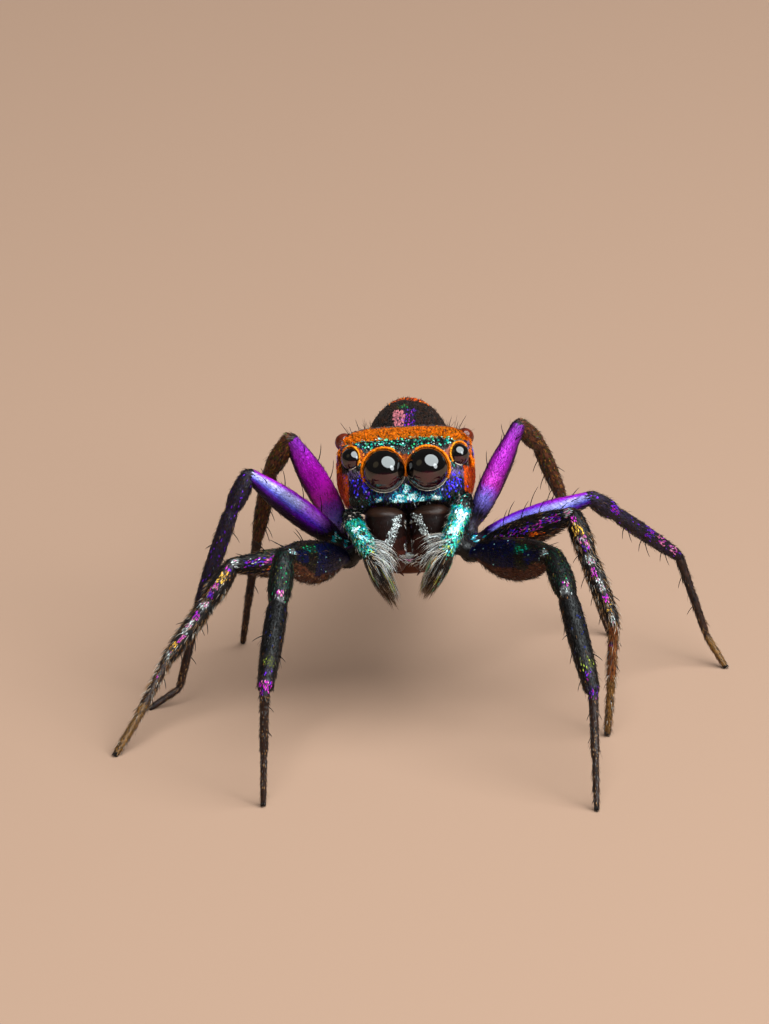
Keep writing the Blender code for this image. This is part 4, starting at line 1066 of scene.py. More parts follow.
def hairs(spots, start, end, length, radius, colours, rows=3, tip_colours=None, flat=1.0):
    """Hairs of a given length that leave in one direction and bend to another."""
    length = np.broadcast_to(np.asarray(length, float), len(spots))[:, None]
    bow = spots.point + unit(start) * length * 0.5
    tip = bow + unit(end) * length * 0.5
    return strands(spots, spots.point, bow, tip, radius, colours, rows, tip_colours, flat)


def fine_hairs(spots, kind, start, end, draw, shorter=1.0):
    """Hairs of a listed kind that leave in one direction, bend to another, and stray a little."""
    start_stray, end_stray, mix, lengths, radius, rows = HAIR_KINDS[kind]
    count = len(spots)
    start = start + draw.normal(size=(count, 3)) * start_stray
    if end_stray:
        end = end + draw.normal(size=(count, 3)) * end_stray
    colours = drawn_colours(mix, count, draw)
    length = draw.uniform(*lengths, count) * shorter
    return hairs(spots, start, end, length, radius, colours, rows)


PATCH_WIDTH = 0.003


def coat(name, parts, finish, slot, smooth=True):
    """One mesh of many small shapes, each a small patch on the map at its root's place."""
    points = []
    faces = []
    colours = []
    patches = []
    start = 0
    for part in parts:
        count, corners = part.points.shape[:2]
        offsets = start + np.arange(count)[:, None, None] * corners
        points.append(part.points.reshape(-1, 3))
        faces.append((part.faces[None, :, :] + offsets).reshape(-1, 3))
        colours.append(part.colours.reshape(-1, 4))
        patch = part.patch[:, None, :] + (part.spread[None, :, :] - 0.5) * PATCH_WIDTH
        patches.append(np.clip(patch, 0.0, 1.0).reshape(-1, 2))
        start += count * corners
    faces = np.concatenate(faces)
    made = mesh_object(name, np.concatenate(points), faces, smooth)
    paint(made, np.concatenate(colours))
    layer = made.data.uv_layers.new(name="OFBake")
    layer.uv.foreach_set("vector", np.concatenate(patches)[faces.ravel()].astype(np.float32).ravel())
    dress(made, finish)


def carried_over(nodes, links, value, given, wanted, target):
    """Lets an input follow a value, from the given range to the wanted one."""
    node = nodes.new("ShaderNodeMapRange")
    names = ("From Min", "From Max", "To Min", "To Max")
    for name, number in zip(names, (*given, *wanted)):
        node.inputs[name].default_value = number
    links.new(value, node.inputs["Value"])
    links.new(node.outputs["Result"], target)


def add_bump(nodes, links, shader, height, strength, depth):
    """Relief of a depth in millimetres."""
    bump = nodes.new("ShaderNodeBump")
    bump.inputs["Strength"].default_value = strength
    bump.inputs["Distance"].default_value = depth * MM
    links.new(height, bump.inputs["Height"])
    links.new(bump.outputs["Normal"], shader.inputs["Normal"])


def material(name, roughness, specular, grain, low, high):
    """A material with its colour and metallic share from the Tint attribute, mottled by a noise.

    It comes with its nodes, links and shader, the place in millimetres and the noise's value.
    """
    made = bpy.data.materials.new(name)
    made.use_nodes = True
    nodes = made.node_tree.nodes
    links = made.node_tree.links
    shader = nodes["Principled BSDF"]
    shader.inputs["Roughness"].default_value = roughness
    shader.inputs["Specular IOR Level"].default_value = specular
    tint = nodes.new("ShaderNodeAttribute")
    tint.attribute_name = "Tint"
    links.new(tint.outputs["Alpha"], shader.inputs["Metallic"])

    place = nodes.new("ShaderNodeTexCoord")
    in_mm = nodes.new("ShaderNodeVectorMath")
    in_mm.operation = "SCALE"
    in_mm.inputs["Scale"].default_value = 1 / MM
    links.new(place.outputs["Object"], in_mm.inputs[0])
    noise = nodes.new("ShaderNodeTexNoise")
    noise.inputs["Scale"].default_value = grain
    noise.inputs["Detail"].default_value = 3.0
    links.new(in_mm.outputs["Vector"], noise.inputs["Vector"])
    mottled = nodes.new("ShaderNodeVectorMath")
    mottled.operation = "SCALE"
    links.new(tint.outputs["Color"], mottled.inputs[0])
    carried_over(nodes, links, noise.outputs["Fac"], (0.35, 0.65), (low, high), mottled.inputs["Scale"])
    links.new(mottled.outputs["Vector"], shader.inputs["Base Color"])
    return made, nodes, links, shader, in_mm.outputs["Vector"], noise.outputs["Fac"]


def cuticle(name, roughness, grain, depth, specular=0.5, coat_weight=0.0):
    """Cuticle: its zone's colour, mottled, with a fine net of cells as bump and roughness."""
    made, nodes, links, shader, place, _ = material(name, roughness, specular, grain * 0.25, 0.65, 1.35)
    shader.inputs["Coat Weight"].default_value = coat_weight
    shader.inputs["Coat Roughness"].default_value = 0.12
    cells = nodes.new("ShaderNodeTexVoronoi")
    cells.feature = "DISTANCE_TO_EDGE"
    cells.inputs["Scale"].default_value = grain
    links.new(place, cells.inputs["Vector"])
    add_bump(nodes, links, shader, cells.outputs["Distance"], 0.5, depth)
    ends = (roughness + 0.12, roughness - 0.06)
    carried_over(nodes, links, cells.outputs["Distance"], (0.0, 0.5), ends, shader.inputs["Roughness"])
    return made


def scale_finish(name, roughness, specular):
    """Scales: colour from the zone, faintly streaked, with fine ridges."""
    made, nodes, links, shader, _, streak = material(name, roughness, specular, 40.0, 0.75, 1.2)
    add_bump(nodes, links, shader, streak, 0.3, 0.002)
    return made


def hair_finish(name, roughness, specular):
    """Hairs: colour from root to tip, a little uneven."""
    return material(name, roughness, specular, 14.0, 0.75, 1.25)[0]


def eye_finish(name, index):
    """A dark glossy lens, faintly clouded inside."""
    made, nodes, links, shader, _, cloud = material(name, 0.025, 0.5, 6.0, 0.6, 1.5)
    shader.inputs["IOR"].default_value = index
    carried_over(nodes, links, cloud, (0.0, 1.0), (0.015, 0.045), shader.inputs["Roughness"])
    return made


def ball(name, centre, radius, look):
    """A smooth eye whose pole faces where it looks."""
    builder = bmesh.new()
    way = Vector((0.0, 0.0, 1.0)).rotation_difference(Vector(look)).to_matrix().to_4x4()
    place = Matrix.Translation(Vector(in_frame(centre))) @ way
    bmesh.ops.create_uvsphere(builder, u_segments=96, v_segments=48, radius=radius * MM, matrix=place)
    made = built(name, builder)
    made.data.shade_smooth()
    return made


def eye_places():
    """Every eye: name, centre, where it looks, radius."""
    places = []
    for kind, (side, back, up, radius, outwards) in EYES.items():
        for label, sign in SIDES:
            angle = math.radians(outwards)
            look = np.array((sign * math.sin(angle), -math.cos(angle), 0.0)) @ HEAD_TURN.T
            centre = from_head((sign * side, back, up))
            places.append((f"{kind}_{label}", centre, look, radius))
    return places


def clear_of_eyes(spots, margin):
    """The spots that lie outside every eye, by a margin."""
    keep = np.ones(len(spots), bool)
    for _, centre, _, radius in eye_places():
        keep &= np.linalg.norm(spots.point - centre, axis=1) > radius + margin
    return spots.where(keep)


def make_eyes():
    """Lenses, black in front with a faint red-brown painted reflection of the floor low in them, dark
    red-brown at the rear with the same painted reflection.
    """
    front = eye_finish("eye_front_glass", 1.78)
    rear = eye_finish("eye_rear_glass", 1.5)
    for name, centre, look, radius in eye_places():
        is_front = "front" in name
        slot = "eye" if is_front else "rear_eye"
        eye = ball(f"lens_{name[4:]}", centre, radius, look)
        points = np.array([vertex.co for vertex in eye.data.vertices]) / MM - SHIFT - centre
        high = points @ UPWARDS / radius
        wide = points @ LEFTWARDS / radius
        # Low in each lens a red-brown patch is painted: a painted reflection of the floor.
        low = smooth_step(1.0, 0.5, ((high + 0.45) / 0.48) ** 2 + (wide / 0.82) ** 2)[:, None]
        dark, painted_reflection = LENS_COLOURS[slot]
        colours = np.array(dark) * (1 - low) + np.array(painted_reflection) * low
        paint(eye, np.hstack([colours, np.zeros((len(colours), 1))]))
        dress(eye, front if is_front else rear, [name])


def cluster_distance(across, up, clusters):
    """How far a place on the face lies from the nearest listed oval's middle, one at its edge."""
    distances = [
        ((across - middle) / half_width) ** 2 + ((up - height) / half_height) ** 2
        for middle, height, half_width, half_height in clusters
    ]
    return np.sqrt(np.min(distances, axis=0))


def face_height(back, up):
    """Height on the face, which tilts, so it is measured a little from above."""
    return up * FACE_TILT[0] + back * FACE_TILT[1]


def face_place(spots):
    """Side, back and up in the head frame, and the height on the face."""
    side, back, up = to_head(spots.point).T
    return side, back, up, face_height(back, up)


def mark_face(zone, front, side, height, wave, ragged):
    """Marks the forehead, the cheeks and the clusters over the jaws, with painted white highlights in
    the clusters' middles.
    """
    across = np.abs(side)
    zone[front & (height > 0.0)] = "forehead_low"
    zone[front & (height > 0.295 + wave * 0.6)] = "forehead_high"
    zone[front & (height > 0.2) & (side < -0.50 + wave)] = "forehead_blue"
    cheek = front & (height < 0.02)
    zone[cheek] = "cheek"
    zone[cheek & (across > 0.50) & (height > -0.10 + wave)] = "cheek_lilac"
    near = cluster_distance(side, height, CHEEK_CLUSTERS)
    zone[cheek & (near < 1 + 0.25 * ragged)] = "cheek_blue"
    zone[cheek & (height < -0.30 + wave)] = "cheek_low"
    middle = cheek & (across < 0.46) & (height < -0.15)
    zone[middle] = "clypeus_dark"
    near = cluster_distance(side, height, CLYPEUS_CLUSTERS)
    zone[middle & (near < 1.05 + 0.3 * ragged)] = "clypeus"
    # The middle of each cluster is painted white as a highlight.
    zone[middle & (near < 0.74 + 0.25 * ragged)] = "clypeus_core"


def mark_sides(zone, side, back, up, height, wave):
    """Marks the flanks, the dark margin below them and the belly wall."""
    across = np.abs(side)
    flank = (across > 0.685 + wave * 0.3) & (back > 0.10) & (back < 1.9)
    zone[flank & (height < -0.02 + 0.05 * (side > 0) + wave * 0.5)] = "flank"
    rim_low = -0.36 - 0.03 * (side < 0)
    zone[(back > 0.10) & (height < rim_low + wave * 0.4) & (across > 0.6)] = "margin"
    zone[(back > 0.5) & (height < -0.42 + wave * 0.4)] = "margin"
    zone[(back > 0.3) & (up < -0.62 + wave)] = "belly_dark"


def mark_eye_rims(zone, front, across, height, wave):
    """Marks the orange rims of the front eyes and the wedge between the large ones."""
    for kind in ("eye_front_middle", "eye_front_side"):
        eye_side, eye_back, eye_up, radius, _ = EYES[kind]
        eye_height = face_height(eye_back, eye_up)
        reach = np.hypot(across - eye_side, height - eye_height) / radius
        slope = (height - eye_height) / np.maximum(reach * radius, 1e-6)
        rim = front & (reach < 1.14 + wave) & (slope > -0.3)
        if "side" in kind:
            rim &= (across < eye_side - 0.02) | (slope > 0.6)
        zone[rim] = "eye_rim"
    wedge = across < 0.012 + np.clip(height - 0.08, 0.0, 0.15) * 0.36 + wave * 0.2
    zone[front & wedge & (height > 0.04) & (height < 0.225 + wave)] = "eye_rim"


def mark_top(zone, across, back, up, height, wave):
    """Marks the crest, the dark fuzz and the blue bands behind it, and the rear slope."""
    crest = (back > 0.20 + wave * 0.3) & (back < 0.84 + wave) & (up > 0.20)
    zone[crest] = "crest"
    beside_eye = (across > 0.60) & (across < 0.762) & (height < 0.335) & (back < 0.5)
    zone[crest & beside_eye] = "cheek_lilac"
    strip = (across > 0.762) & (back > 0.14) & (back < 0.62) & (up > -0.02) & (up <= 0.20)
    zone[strip] = "crest"
    zone[(back > 0.84 + wave) & (back < 0.95 + wave) & (height > 0.1)] = "back_fuzz"
    band = (back > 0.95 + wave) & (back < 1.10 + wave) & (up > 0.0)
    band |= (up > 0.0) & (back > 1.40 + wave) & (back < 1.56 + wave) & (across < 0.66)
    zone[band] = "back_blue"
    zone[(back > 1.76 + wave) & (up > -0.5)] = "abdomen_dark"


def head_zone(spots):
    """Zones of the carapace and the sternum."""
    side, back, up, height = face_place(spots)
    across = np.abs(side)
    wave = ripple(spots.point, 14.0, 1) * 0.03
    ragged = ripple(spots.point, 45.0, 3)
    zone = np.full(len(side), "face", dtype="U20")
    behind = back > 0.30 + wave * 0.6
    zone[behind] = "back_orange"
    zone[behind & (height < 0.06) & (across > 0.6)] = "flank"
    zone[behind & (height < -0.30) & (across <= 0.6)] = "margin"
    mark_face(zone, ~behind, side, height, wave, ragged)
    mark_sides(zone, side, back, up, height, wave)
    mark_eye_rims(zone, ~behind, across, height, wave)
    mark_top(zone, across, back, up, height, wave)
    return zone


def tinted(zone_of):
    """A function that colours spots by their zones: the cuticle, or scales where draw is given."""
    return lambda spots, draw: zone_colours(zone_of(spots), draw)


def abdomen_zone(spots):
    """Zones of the abdomen: dark above with a stripe, orange sides with a blue edge, dark belly."""
    side, along, up = to_abdomen(spots.point).T
    wave = ripple(spots.point, 9.0, 2) * 0.03
    zone = np.full(len(side), "abdomen_orange", dtype="U20")
    zone[up < -0.16 + wave] = "back_blue"
    zone[up < -0.26 + wave] = "belly_dark"
    ragged = ripple(spots.point, 22.0, 6) * 0.05
    zone[(along < 2.56 + ragged + wave) & (up > 0.06 + wave)] = "abdomen_dark"
    zone[(along < 0.30 + wave) & (up > -0.25)] = "abdomen_dark"
    front = (up > 0) & (along < 2.03 + ragged)
    zone[front & (side > -0.19 + wave) & (side < -0.06 + wave)] = "abdomen_pink"
    zone[front & (side > -0.06 + wave) & (side < 0.08 + wave)] = "abdomen_violet"
    green = (side > -0.13) & (side < -0.01) & (along > 2.08 + ragged) & (along < 2.28) & (up > 0)
    zone[green] = "abdomen_green"
    return zone


def make_body():
    """Carapace with sternum, and abdomen with waist and spinnerets."""
    shell = body_surface(CARAPACE_SECTIONS, from_head, 144, 170).shrunk(BODY_COAT)
    wall = [(*section, STERNUM_POWER, STERNUM_POWER, 0.0) for section in STERNUM_SECTIONS]
    sternum = body_surface(wall, from_head, 48, 40).shrunk(BODY_COAT)
    finish = cuticle("cuticle_head", 0.42, 90.0, 0.004)
    parts = [shell, sternum]
    skin("skin_cephalothorax", parts, tinted(head_zone), finish, "carapace", ["cephalothorax"])

    hull = [(*section, ABDOMEN_POWER, ABDOMEN_POWER, 0.0) for section in ABDOMEN_SECTIONS]
    abdomen = body_surface(hull, from_abdomen, 112, 150).shrunk(BODY_COAT)
    ends = [from_head(WAIST_ROOT), from_abdomen((0.0, 0.06, 0.0))]
    parts = [abdomen, limb_surface(ends, round_form(WAIST_FORM), 24, 0.02, 0.05)]
    core = np.array((0.0, ABDOMEN_SECTIONS[-1][0] - 0.02, 0.0))
    for across, up in SPINNERET_PLACES:
        root = core + (across, 0.0, up)
        tip = root + unit(np.array((across * 2, 1.0, up * 2 - 0.15))) * (SPINNERET_LENGTH + 0.03)
        ends = [from_abdomen(root), from_abdomen(tip)]
        parts.append(limb_surface(ends, round_form(SPINNERET_FORM), 16, 0.02, 0.04))
    finish = cuticle("cuticle_abdomen", 0.5, 60.0, 0.005)
    nodes = ["abdomen", "waist", "spinnerets"]
    skin("skin_abdomen", parts, tinted(abdomen_zone), finish, "abdomen", nodes)
    return shell, sternum, abdomen


def leg_direction(sign, heading, rise):
    """The way a segment runs, by its heading and rise in degrees."""
    heading = math.radians(heading)
    rise = math.radians(rise)
    flat = math.cos(rise)
    return np.array((sign * math.sin(heading) * flat, -math.cos(heading) * flat, math.sin(rise)))


def leg_joints(pair, label, sign):
    """Root of the coxa, trochanter, knee, patella end, tibia end, metatarsus end and foot."""
    side, back, up = TROCHANTERS[pair]
    lengths = LEG_LENGTHS[pair]
    femur_heading, shin_heading, metatarsus_heading, tarsus_heading = LEG_POSES[pair, label][:4]
    femur_rise, patella_rise, tibia_rise, tarsus_rise = LEG_POSES[pair, label][4:]
    root = from_head((sign * COXA_ROOT_SIDES[pair], back, COXA_ROOT_UP))
    joints = [root, from_head((sign * side, back, up))]
    joints[0] = root - unit(joints[1] - root) * 0.1
    headings = (femur_heading, shin_heading, shin_heading)
    for heading, rise, length in zip(headings, (femur_rise, patella_rise, tibia_rise), lengths):
        joints.append(joints[-1] + leg_direction(sign, heading, rise) * length)
    metatarsus, tarsus = lengths[3:]
    drop = joints[-1][2] + tarsus * math.sin(math.radians(tarsus_rise))
    slope = -math.degrees(math.asin(drop / metatarsus))
    joints.append(joints[-1] + leg_direction(sign, metatarsus_heading, slope) * metatarsus)
    joints.append(joints[-1] + leg_direction(sign, tarsus_heading, tarsus_rise) * tarsus)
    return joints


def femur_station(pair, fraction):
    """The station of a fraction of the femur, which starts a gap beyond the trochanter."""
    neck = (TROCHANTER_RADIUS + GAP) / LEG_LENGTHS[pair][0]
    return 1 + neck + (1 - neck) * fraction


def leg_form(pair):
    """Half widths, heights and sag: 0 coxa, 1 femur, 2 patella, 3 tibia, 4 and 5 the foot."""
    across, painted_reflection, patella, tibia, metatarsus, tarsus = LEG_RADII[pair]
    radii = {
        "coxa": COXA_RADIUS,
        "trochanter": TROCHANTER_RADIUS,
        "knee": patella * 0.86,
        "patella": patella,
        "tibia": tibia,
        "metatarsus": metatarsus,
        "tarsus": tarsus,
    }
    coxa = round_form([(place, radii[part] * share) for part, place, share in COXA_FORM])
    shin = round_form([(place, radii[part] * share) for part, place, share in SHIN_FORM])
    femur = [
        (femur_station(pair, fraction), across * share, painted_reflection * share, FEMUR_SAG[pair] * hang)
        for fraction, share, hang in FEMUR_FORM
    ]
    return coxa + femur + shin


# Marks of each leg: zone, segment, from and to along it, and from and to round it, or else all
# round. Segments are 0 coxa, 1 femur, 2 patella, 3 tibia, 4 metatarsus, 5 tarsus. Degrees run
# from the top, forwards positive.
ALL_ROUND = (-180, 180)
LEG_MARKS = {
    1: [
        ("coxa", 0, 0.0, 1.0),
        ("leg_speck", 1, 0.10, 1.0),
        ("leg_blue", 1, 0.06, 0.62, 26, 112),
        ("leg_glint_green", 1, 0.62, 0.80, 34, 66),
        ("leg_blue", 1, 0.74, 0.93, 52, 104),
        ("leg_under", 1, 0.12, 0.93, 112, 180),
        ("leg_under", 1, 0.12, 0.93, -180, -120),
        ("leg_ice", 1, 0.93, 1.0, 25, 72),
        ("leg_green", 2, 0.0, 1.0, -90, 130),
        # The pink and grey marks at the end of the first patella are a painted highlight.
        ("leg_pink", 2, 0.80, 0.90, -6, 32),
        ("leg_grey", 2, 0.90, 1.0, -16, 50),
        ("leg_grey", 3, 0.0, 0.03, -16, 50),
        ("leg_brown", 3, 0.03, 1.0),
        ("leg_black", 3, 0.08, 0.60, -90, 60),
        ("leg_olive", 3, 0.64, 0.77, -34, 40),
        ("leg_dim_violet", 3, 0.79, 0.87, -20, 44),
        ("leg_magenta", 3, 0.935, 1.0, -60, 70),
        ("leg_magenta", 4, 0.0, 0.05, -60, 70),
        ("foot_grey", 4, 0.05, 1.0),
        ("foot_grey", 5, 0.0, 1.0),
        ("leg_black", 5, 0.93, 1.0),
    ],
    2: [
        ("coxa", 0, 0.0, 1.0),
        ("leg_speck", 1, 0.10, 1.0, -180, 20),
        ("leg_glitter", 1, 0.22, 0.60, 42, 84),
        ("leg_magenta", 1, 0.62, 0.72, 48, 78),
        ("leg_glitter", 1, 0.72, 0.90, 40, 80),
        ("leg_rust", 1, 0.42, 0.52, 90, 112),
        ("leg_rust", 1, 0.58, 0.70, 90, 110),
        ("leg_under", 1, 0.2, 0.95, 125, 180),
        ("leg_under", 1, 0.2, 0.95, -180, -120),
        ("leg_silver", 1, 0.94, 1.0, 10, 80),
        ("leg_brown", 2, 0.0, 1.0),
        ("leg_magenta", 2, 0.06, 0.20, 14, 50),
        ("leg_gold", 2, 0.18, 0.50, 12, 60),
        ("leg_pink", 2, 0.54, 0.76, 6, 48),
        ("leg_violet", 2, 0.76, 0.90, 8, 52),
        ("leg_silver", 3, 0.0, 0.14, -12, 60),
        ("leg_brown", 3, 0.14, 1.0),
        ("leg_magenta", 3, 0.18, 0.32, 12, 46),
        ("leg_silver", 3, 0.34, 0.56, 8, 42),
        ("leg_magenta", 3, 0.58, 0.70, 10, 46),
        ("leg_gold", 3, 0.72, 0.84, 6, 42),
        ("leg_silver", 3, 0.86, 0.98, 0, 50),
        ("foot_rust", 4, 0.04, 0.80),
        ("foot_tan", 4, 0.80, 1.0),
        ("leg_magenta", 4, 0.24, 0.30, -10, 40),
        ("foot_tan", 5, 0.0, 1.0),
        ("leg_black", 5, 0.91, 1.0),
    ],
    3: [
        ("coxa", 0, 0.0, 1.0),
        ("leg_dark_violet", 1, 0.0, 1.0),
        ("coxa_cyan", 1, 0.03, 0.085, 20, 100),
        ("coxa_cyan", 1, 0.125, 0.175, 50, 110),
        ("leg_brown", 1, 0.96, 1.0),
        ("leg_dark_violet", 2, 0.0, 1.0),
        ("leg_violet", 2, 0.52, 0.92, 10, 100),
        ("leg_dark_violet", 3, 0.0, 1.0),
        ("leg_violet", 3, 0.38, 0.50, 20, 110),
        ("leg_pink", 3, 0.56, 0.68, 30, 100),
        ("leg_pink", 3, 0.75, 0.88, 30, 100),
        ("foot_dark", 4, 0.0, 0.6),
        ("foot_brown", 4, 0.6, 1.0),
        ("foot_tan", 5, 0.0, 1.0),
        ("leg_black", 5, 0.91, 1.0),
    ],
    4: [
        ("coxa", 0, 0.0, 1.0),
        ("leg_dark_violet", 1, 0.0, 1.0),
        ("leg_brown", 1, 0.975, 1.0),
        ("leg_orange", 2, 0.0, 1.0),
        ("leg_orange", 3, 0.0, 1.0),
        ("foot_dark", 4, 0.0, 1.0),
        ("foot_brown", 5, 0.0, 1.0),
        ("leg_black", 5, 0.93, 1.0),
    ],
}
# Marks that only the other side's leg shows as bright, and what this one has instead: painted shade, the
# same marks painted dimmer on this side.
DIM_MARKS = {
    (1, "left"): {"leg_magenta": "leg_dim_violet"},
    (2, "right"): {"foot_rust": "foot_brown"},
    (3, "right"): {
        "leg_violet": "leg_dark_violet",
        "leg_pink": "leg_dark_violet",
        "foot_tan": "foot_dark",
    },
}


def read_stops(places, stops):
    """Colours read along listed stops."""
    knots = [knot for knot, _ in stops]
    columns = [np.interp(places, knots, [stop[i] for _, stop in stops]) for i in range(4)]
    return np.stack(columns, axis=1)


def round_leg(spots, sign):
    """Degrees round a leg from its top, forwards positive."""
    return sign * ((90.0 - spots.degrees + 180.0) % 360.0 - 180.0)


def leg_zone(spots, pair, label, sign):
    """Zones of one leg, by its marks."""
    station = spots.station + ripple(spots.point, 12.0, pair) * 0.012
    turned = round_leg(spots, sign) + ripple(spots.point, 16.0, pair + 9) * 9.0
    segment = np.clip(station.astype(int), 0, 5)
    share = station - segment
    zone = np.full(len(station), "leg_black", dtype="U20")
    for name, place, low, high, *sector in LEG_MARKS[pair]:
        left, right = sector or ALL_ROUND
        inside = (segment == place) & (share >= low) & (share <= high)
        zone[inside & (turned >= left) & (turned <= right)] = name
    # Painted shade: some marks are painted dimmer on this side's leg.
    for mark, instead in DIM_MARKS.get((pair, label), {}).items():
        zone[zone == mark] = instead
    return zone


def third_sheen(spots, label, off, share):
    """The painted sheen of a third femur, with its painted highlight streak, by degrees off its middle.
    """
    bright = read_stops(off, THIRD_SHEEN)
    gap = smooth_step(0.15, 0.8, ripple(spots.point, 6.0, 31)) * 0.7
    bright[:, 1] *= 1 - gap
    # The left femur's painted sheen is darker and bluer towards its base.
    if label == "left":
        bright[:, :2] *= 0.5 + 0.4 * smooth_step(0.5, 0.75, share)[:, None]
    return bright


def fourth_sheen(label, off, share, wander):
    """The painted sheen of a fourth femur, by degrees off its middle and the fraction along it."""
    # The right femur's painted sheen is made brighter than the left's.
    shift, strength = (0.03, 1.7) if label == "right" else (0.0, 0.6)
    bright = read_stops(share + shift + wander * 0.004, FOURTH_SHEEN)
    bright[:, :3] *= np.interp(off, *zip(*FOURTH_WIDTHS))[:, None]
    bright[:, :3] *= strength
    bright[:, :3] += (0.007, 0.003, 0.010)
    return bright


def hind_sheen(spots, pair, label, sign):
    """The painted sheen and highlight streak of a hind femur, which begins some way along it, painted
    dark before it.
    """
    share = spots.station - 1
    wander = ripple(spots.point, 7.0, pair + 20) * 7.0
    off = round_leg(spots, sign) - SHEEN_MIDDLE[pair, label] + wander
    if pair == 3:
        bright = third_sheen(spots, label, off, share)
    else:
        bright = fourth_sheen(label, off, share, wander)
    begin = SHEEN_START[pair, label]
    dim = smooth_step(begin - 0.06, begin + 0.08, share)
    dim = dim * (0.82 + 0.18 * ripple(spots.point, 9.0, 33))
    bright[:, :3] *= np.maximum(dim, 0.02)[:, None]
    return bright


def leg_tint_of(pair, label, sign):
    """The colouring of one leg."""

    def tint_of(spots, draw):
        colours = zone_colours(leg_zone(spots, pair, label, sign), draw)
        if pair > 2:
            share = spots.station - 1
            # On the hind femora the painted sheen takes the place of the zones' colours.
            femur = (share > SHEEN_START[pair, label] - 0.06) & (share < 0.975)
            colours[femur] = hind_sheen(spots, pair, label, sign)[femur]
            if draw is not None:
                colours[femur, :3] *= draw.uniform(0.8, 1.2, (femur.sum(), 1))
        return colours

    return tint_of


def leg_slot(pair):
    """The material slot of a pair's legs."""
    return {1: "front_leg", 2: "second_leg"}.get(pair, "rear_leg")


def side_cell(sign):
    """The half of the map that one side of the body takes."""
    return (0.0, 0.0, 0.49, 1.0) if sign > 0 else (0.51, 0.0, 1.0, 1.0)


def make_legs():
    """One skin for each leg. Returns the surfaces that the coats grow from."""
    finish = cuticle("cuticle_leg", 0.34, 70.0, 0.002, 0.3)
    surfaces = {}
    for pair in LEG_LENGTHS:
        for label, sign in SIDES:
            joints = leg_joints(pair, label, sign)
            leg = limb_surface(joints, leg_form(pair), 36, 0.028, 0.075, side_cell(sign))
            surfaces[pair, label] = leg.shrunk(LIMB_COAT)
            name = f"leg_{pair}_{label}"
            nodes = [f"{name}_{part}" for part in ("coxa", "femur", "tibia", "foot")]
            tint_of = leg_tint_of(pair, label, sign)
            skin(f"skin_{name}", [surfaces[pair, label]], tint_of, finish, leg_slot(pair), nodes)
    return surfaces


def palp_zone(spots):
    """Zones of a palp: a bright front from the knee down with a painted white highlight in its middle,
    dark towards the sides and the hand.
    """
    station = spots.station
    wave = ripple(spots.point, 15.0, 5)
    front = -spots.out[:, 1] * 0.93 + spots.out[:, 2] * 0.37 + wave * 0.08
    zone = np.full(len(station), "palp_rim", dtype="U20")
    right = to_head(spots.point)[:, 0] < 0
    knee = np.where(right, 2.26, 2.13) + wave * 0.04
    shin = (station > knee) & (station < 3.04)
    zone[shin & (front > 0.30)] = "palp_bright"
    zone[shin & (front > 0.10) & (station > 2.50 + wave * 0.08)] = "palp_speck"
    # A painted white highlight runs down the middle of the front below the knee.
    core = (station > knee + 0.05) & (station < knee + 0.38 + wave * 0.1)
    zone[shin & (front > 0.85) & core] = "palp_core"
    zone[station > 3.04 + wave * 0.05] = "palp_hand"
    return zone


def jaw_zone(spots):
    """Zones of a jaw and its fang: a grey band on top, dark below, reddest inside near the fang."""
    side, _, up = to_head(spots.point).T
    zone = np.where(up > -0.545, "jaw_band", "jaw").astype("U20")
    zone[up < -0.82 + 0.03 * ripple(spots.point, 12.0, 14)] = "jaw_low"
    zone[(up < -0.98) & (np.abs(side) < 0.14)] = "jaw_red"
    return zone


def mouth_zone(spots):
    """The mouthparts have one colour."""
    return np.full(len(spots), "leg_under")


def make_mouth():
    """Palps, chelicerae with fangs, and the mouthparts behind them."""
    finish = cuticle("cuticle_palp", 0.3, 70.0, 0.003)
    palps = {}
    for label, sign in SIDES:
        joints = from_head(PALP_JOINTS[label])
        palp = limb_surface(joints, PALP_FORM, 36, 0.018, 0.06, side_cell(sign)).shrunk(LIMB_COAT)
        palps[label] = palp
        nodes = [f"palp_{label}_{part}" for part in ("femur", "tibia", "cymbium")]
        skin(f"skin_palp_{label}", [palp], tinted(palp_zone), finish, "palp", nodes)
    finish = cuticle("cuticle_jaw", 0.38, 30.0, 0.004, 0.20, 0.06)
    fang_form = round_form([(place, FANG_RADIUS * share) for place, share in FANG_FORM])
    jaws = {}
    for label, sign in SIDES:
        jaw = upright_surface(CHELICERA_SECTIONS, sign, 72, 80, side_cell(sign)).shrunk(LIMB_COAT)
        jaws[label] = jaw
        mirrored = np.array((sign, 1.0, 1.0))
        root = mirrored * FANG_ROOT
        heading = unit(mirrored * FANG_HEADING)
        middle = root + heading * FANG_LENGTH * 0.5 + np.array((sign * 0.015, -0.015, 0.0))
        tip = root + heading * FANG_LENGTH
        fang = limb_surface(from_head(np.array([root, middle, tip])), fang_form, 20, 0.01, 0.05)
        name = f"chelicera_{label}"
        skin(f"skin_{name}", [jaw, fang], tinted(jaw_zone), finish, "chelicera", [name])
    mouth = upright_surface(MOUTHPART_SECTIONS, 1, 48, 40)
    skin("skin_mouthparts", [mouth], tinted(mouth_zone), finish, "mouthparts", ["mouthparts"])
    return palps, jaws


def on_face(spots):
    """Whether each spot lies on the face, clear of the blades round it."""
    return (to_head(spots.point)[:, 1] < 0.36) & ~np.isin(head_zone(spots), FURRY_ZONES)


def on_forehead(spots):
    """Share of the forehead's glints, most of them high up."""
    side, _, _, height = face_place(spots)
    band = np.clip((height - 0.23) / 0.10, 0.06, 1.0) * (height > 0.1)
    return band * on_face(spots) * (np.abs(side) < 0.7)


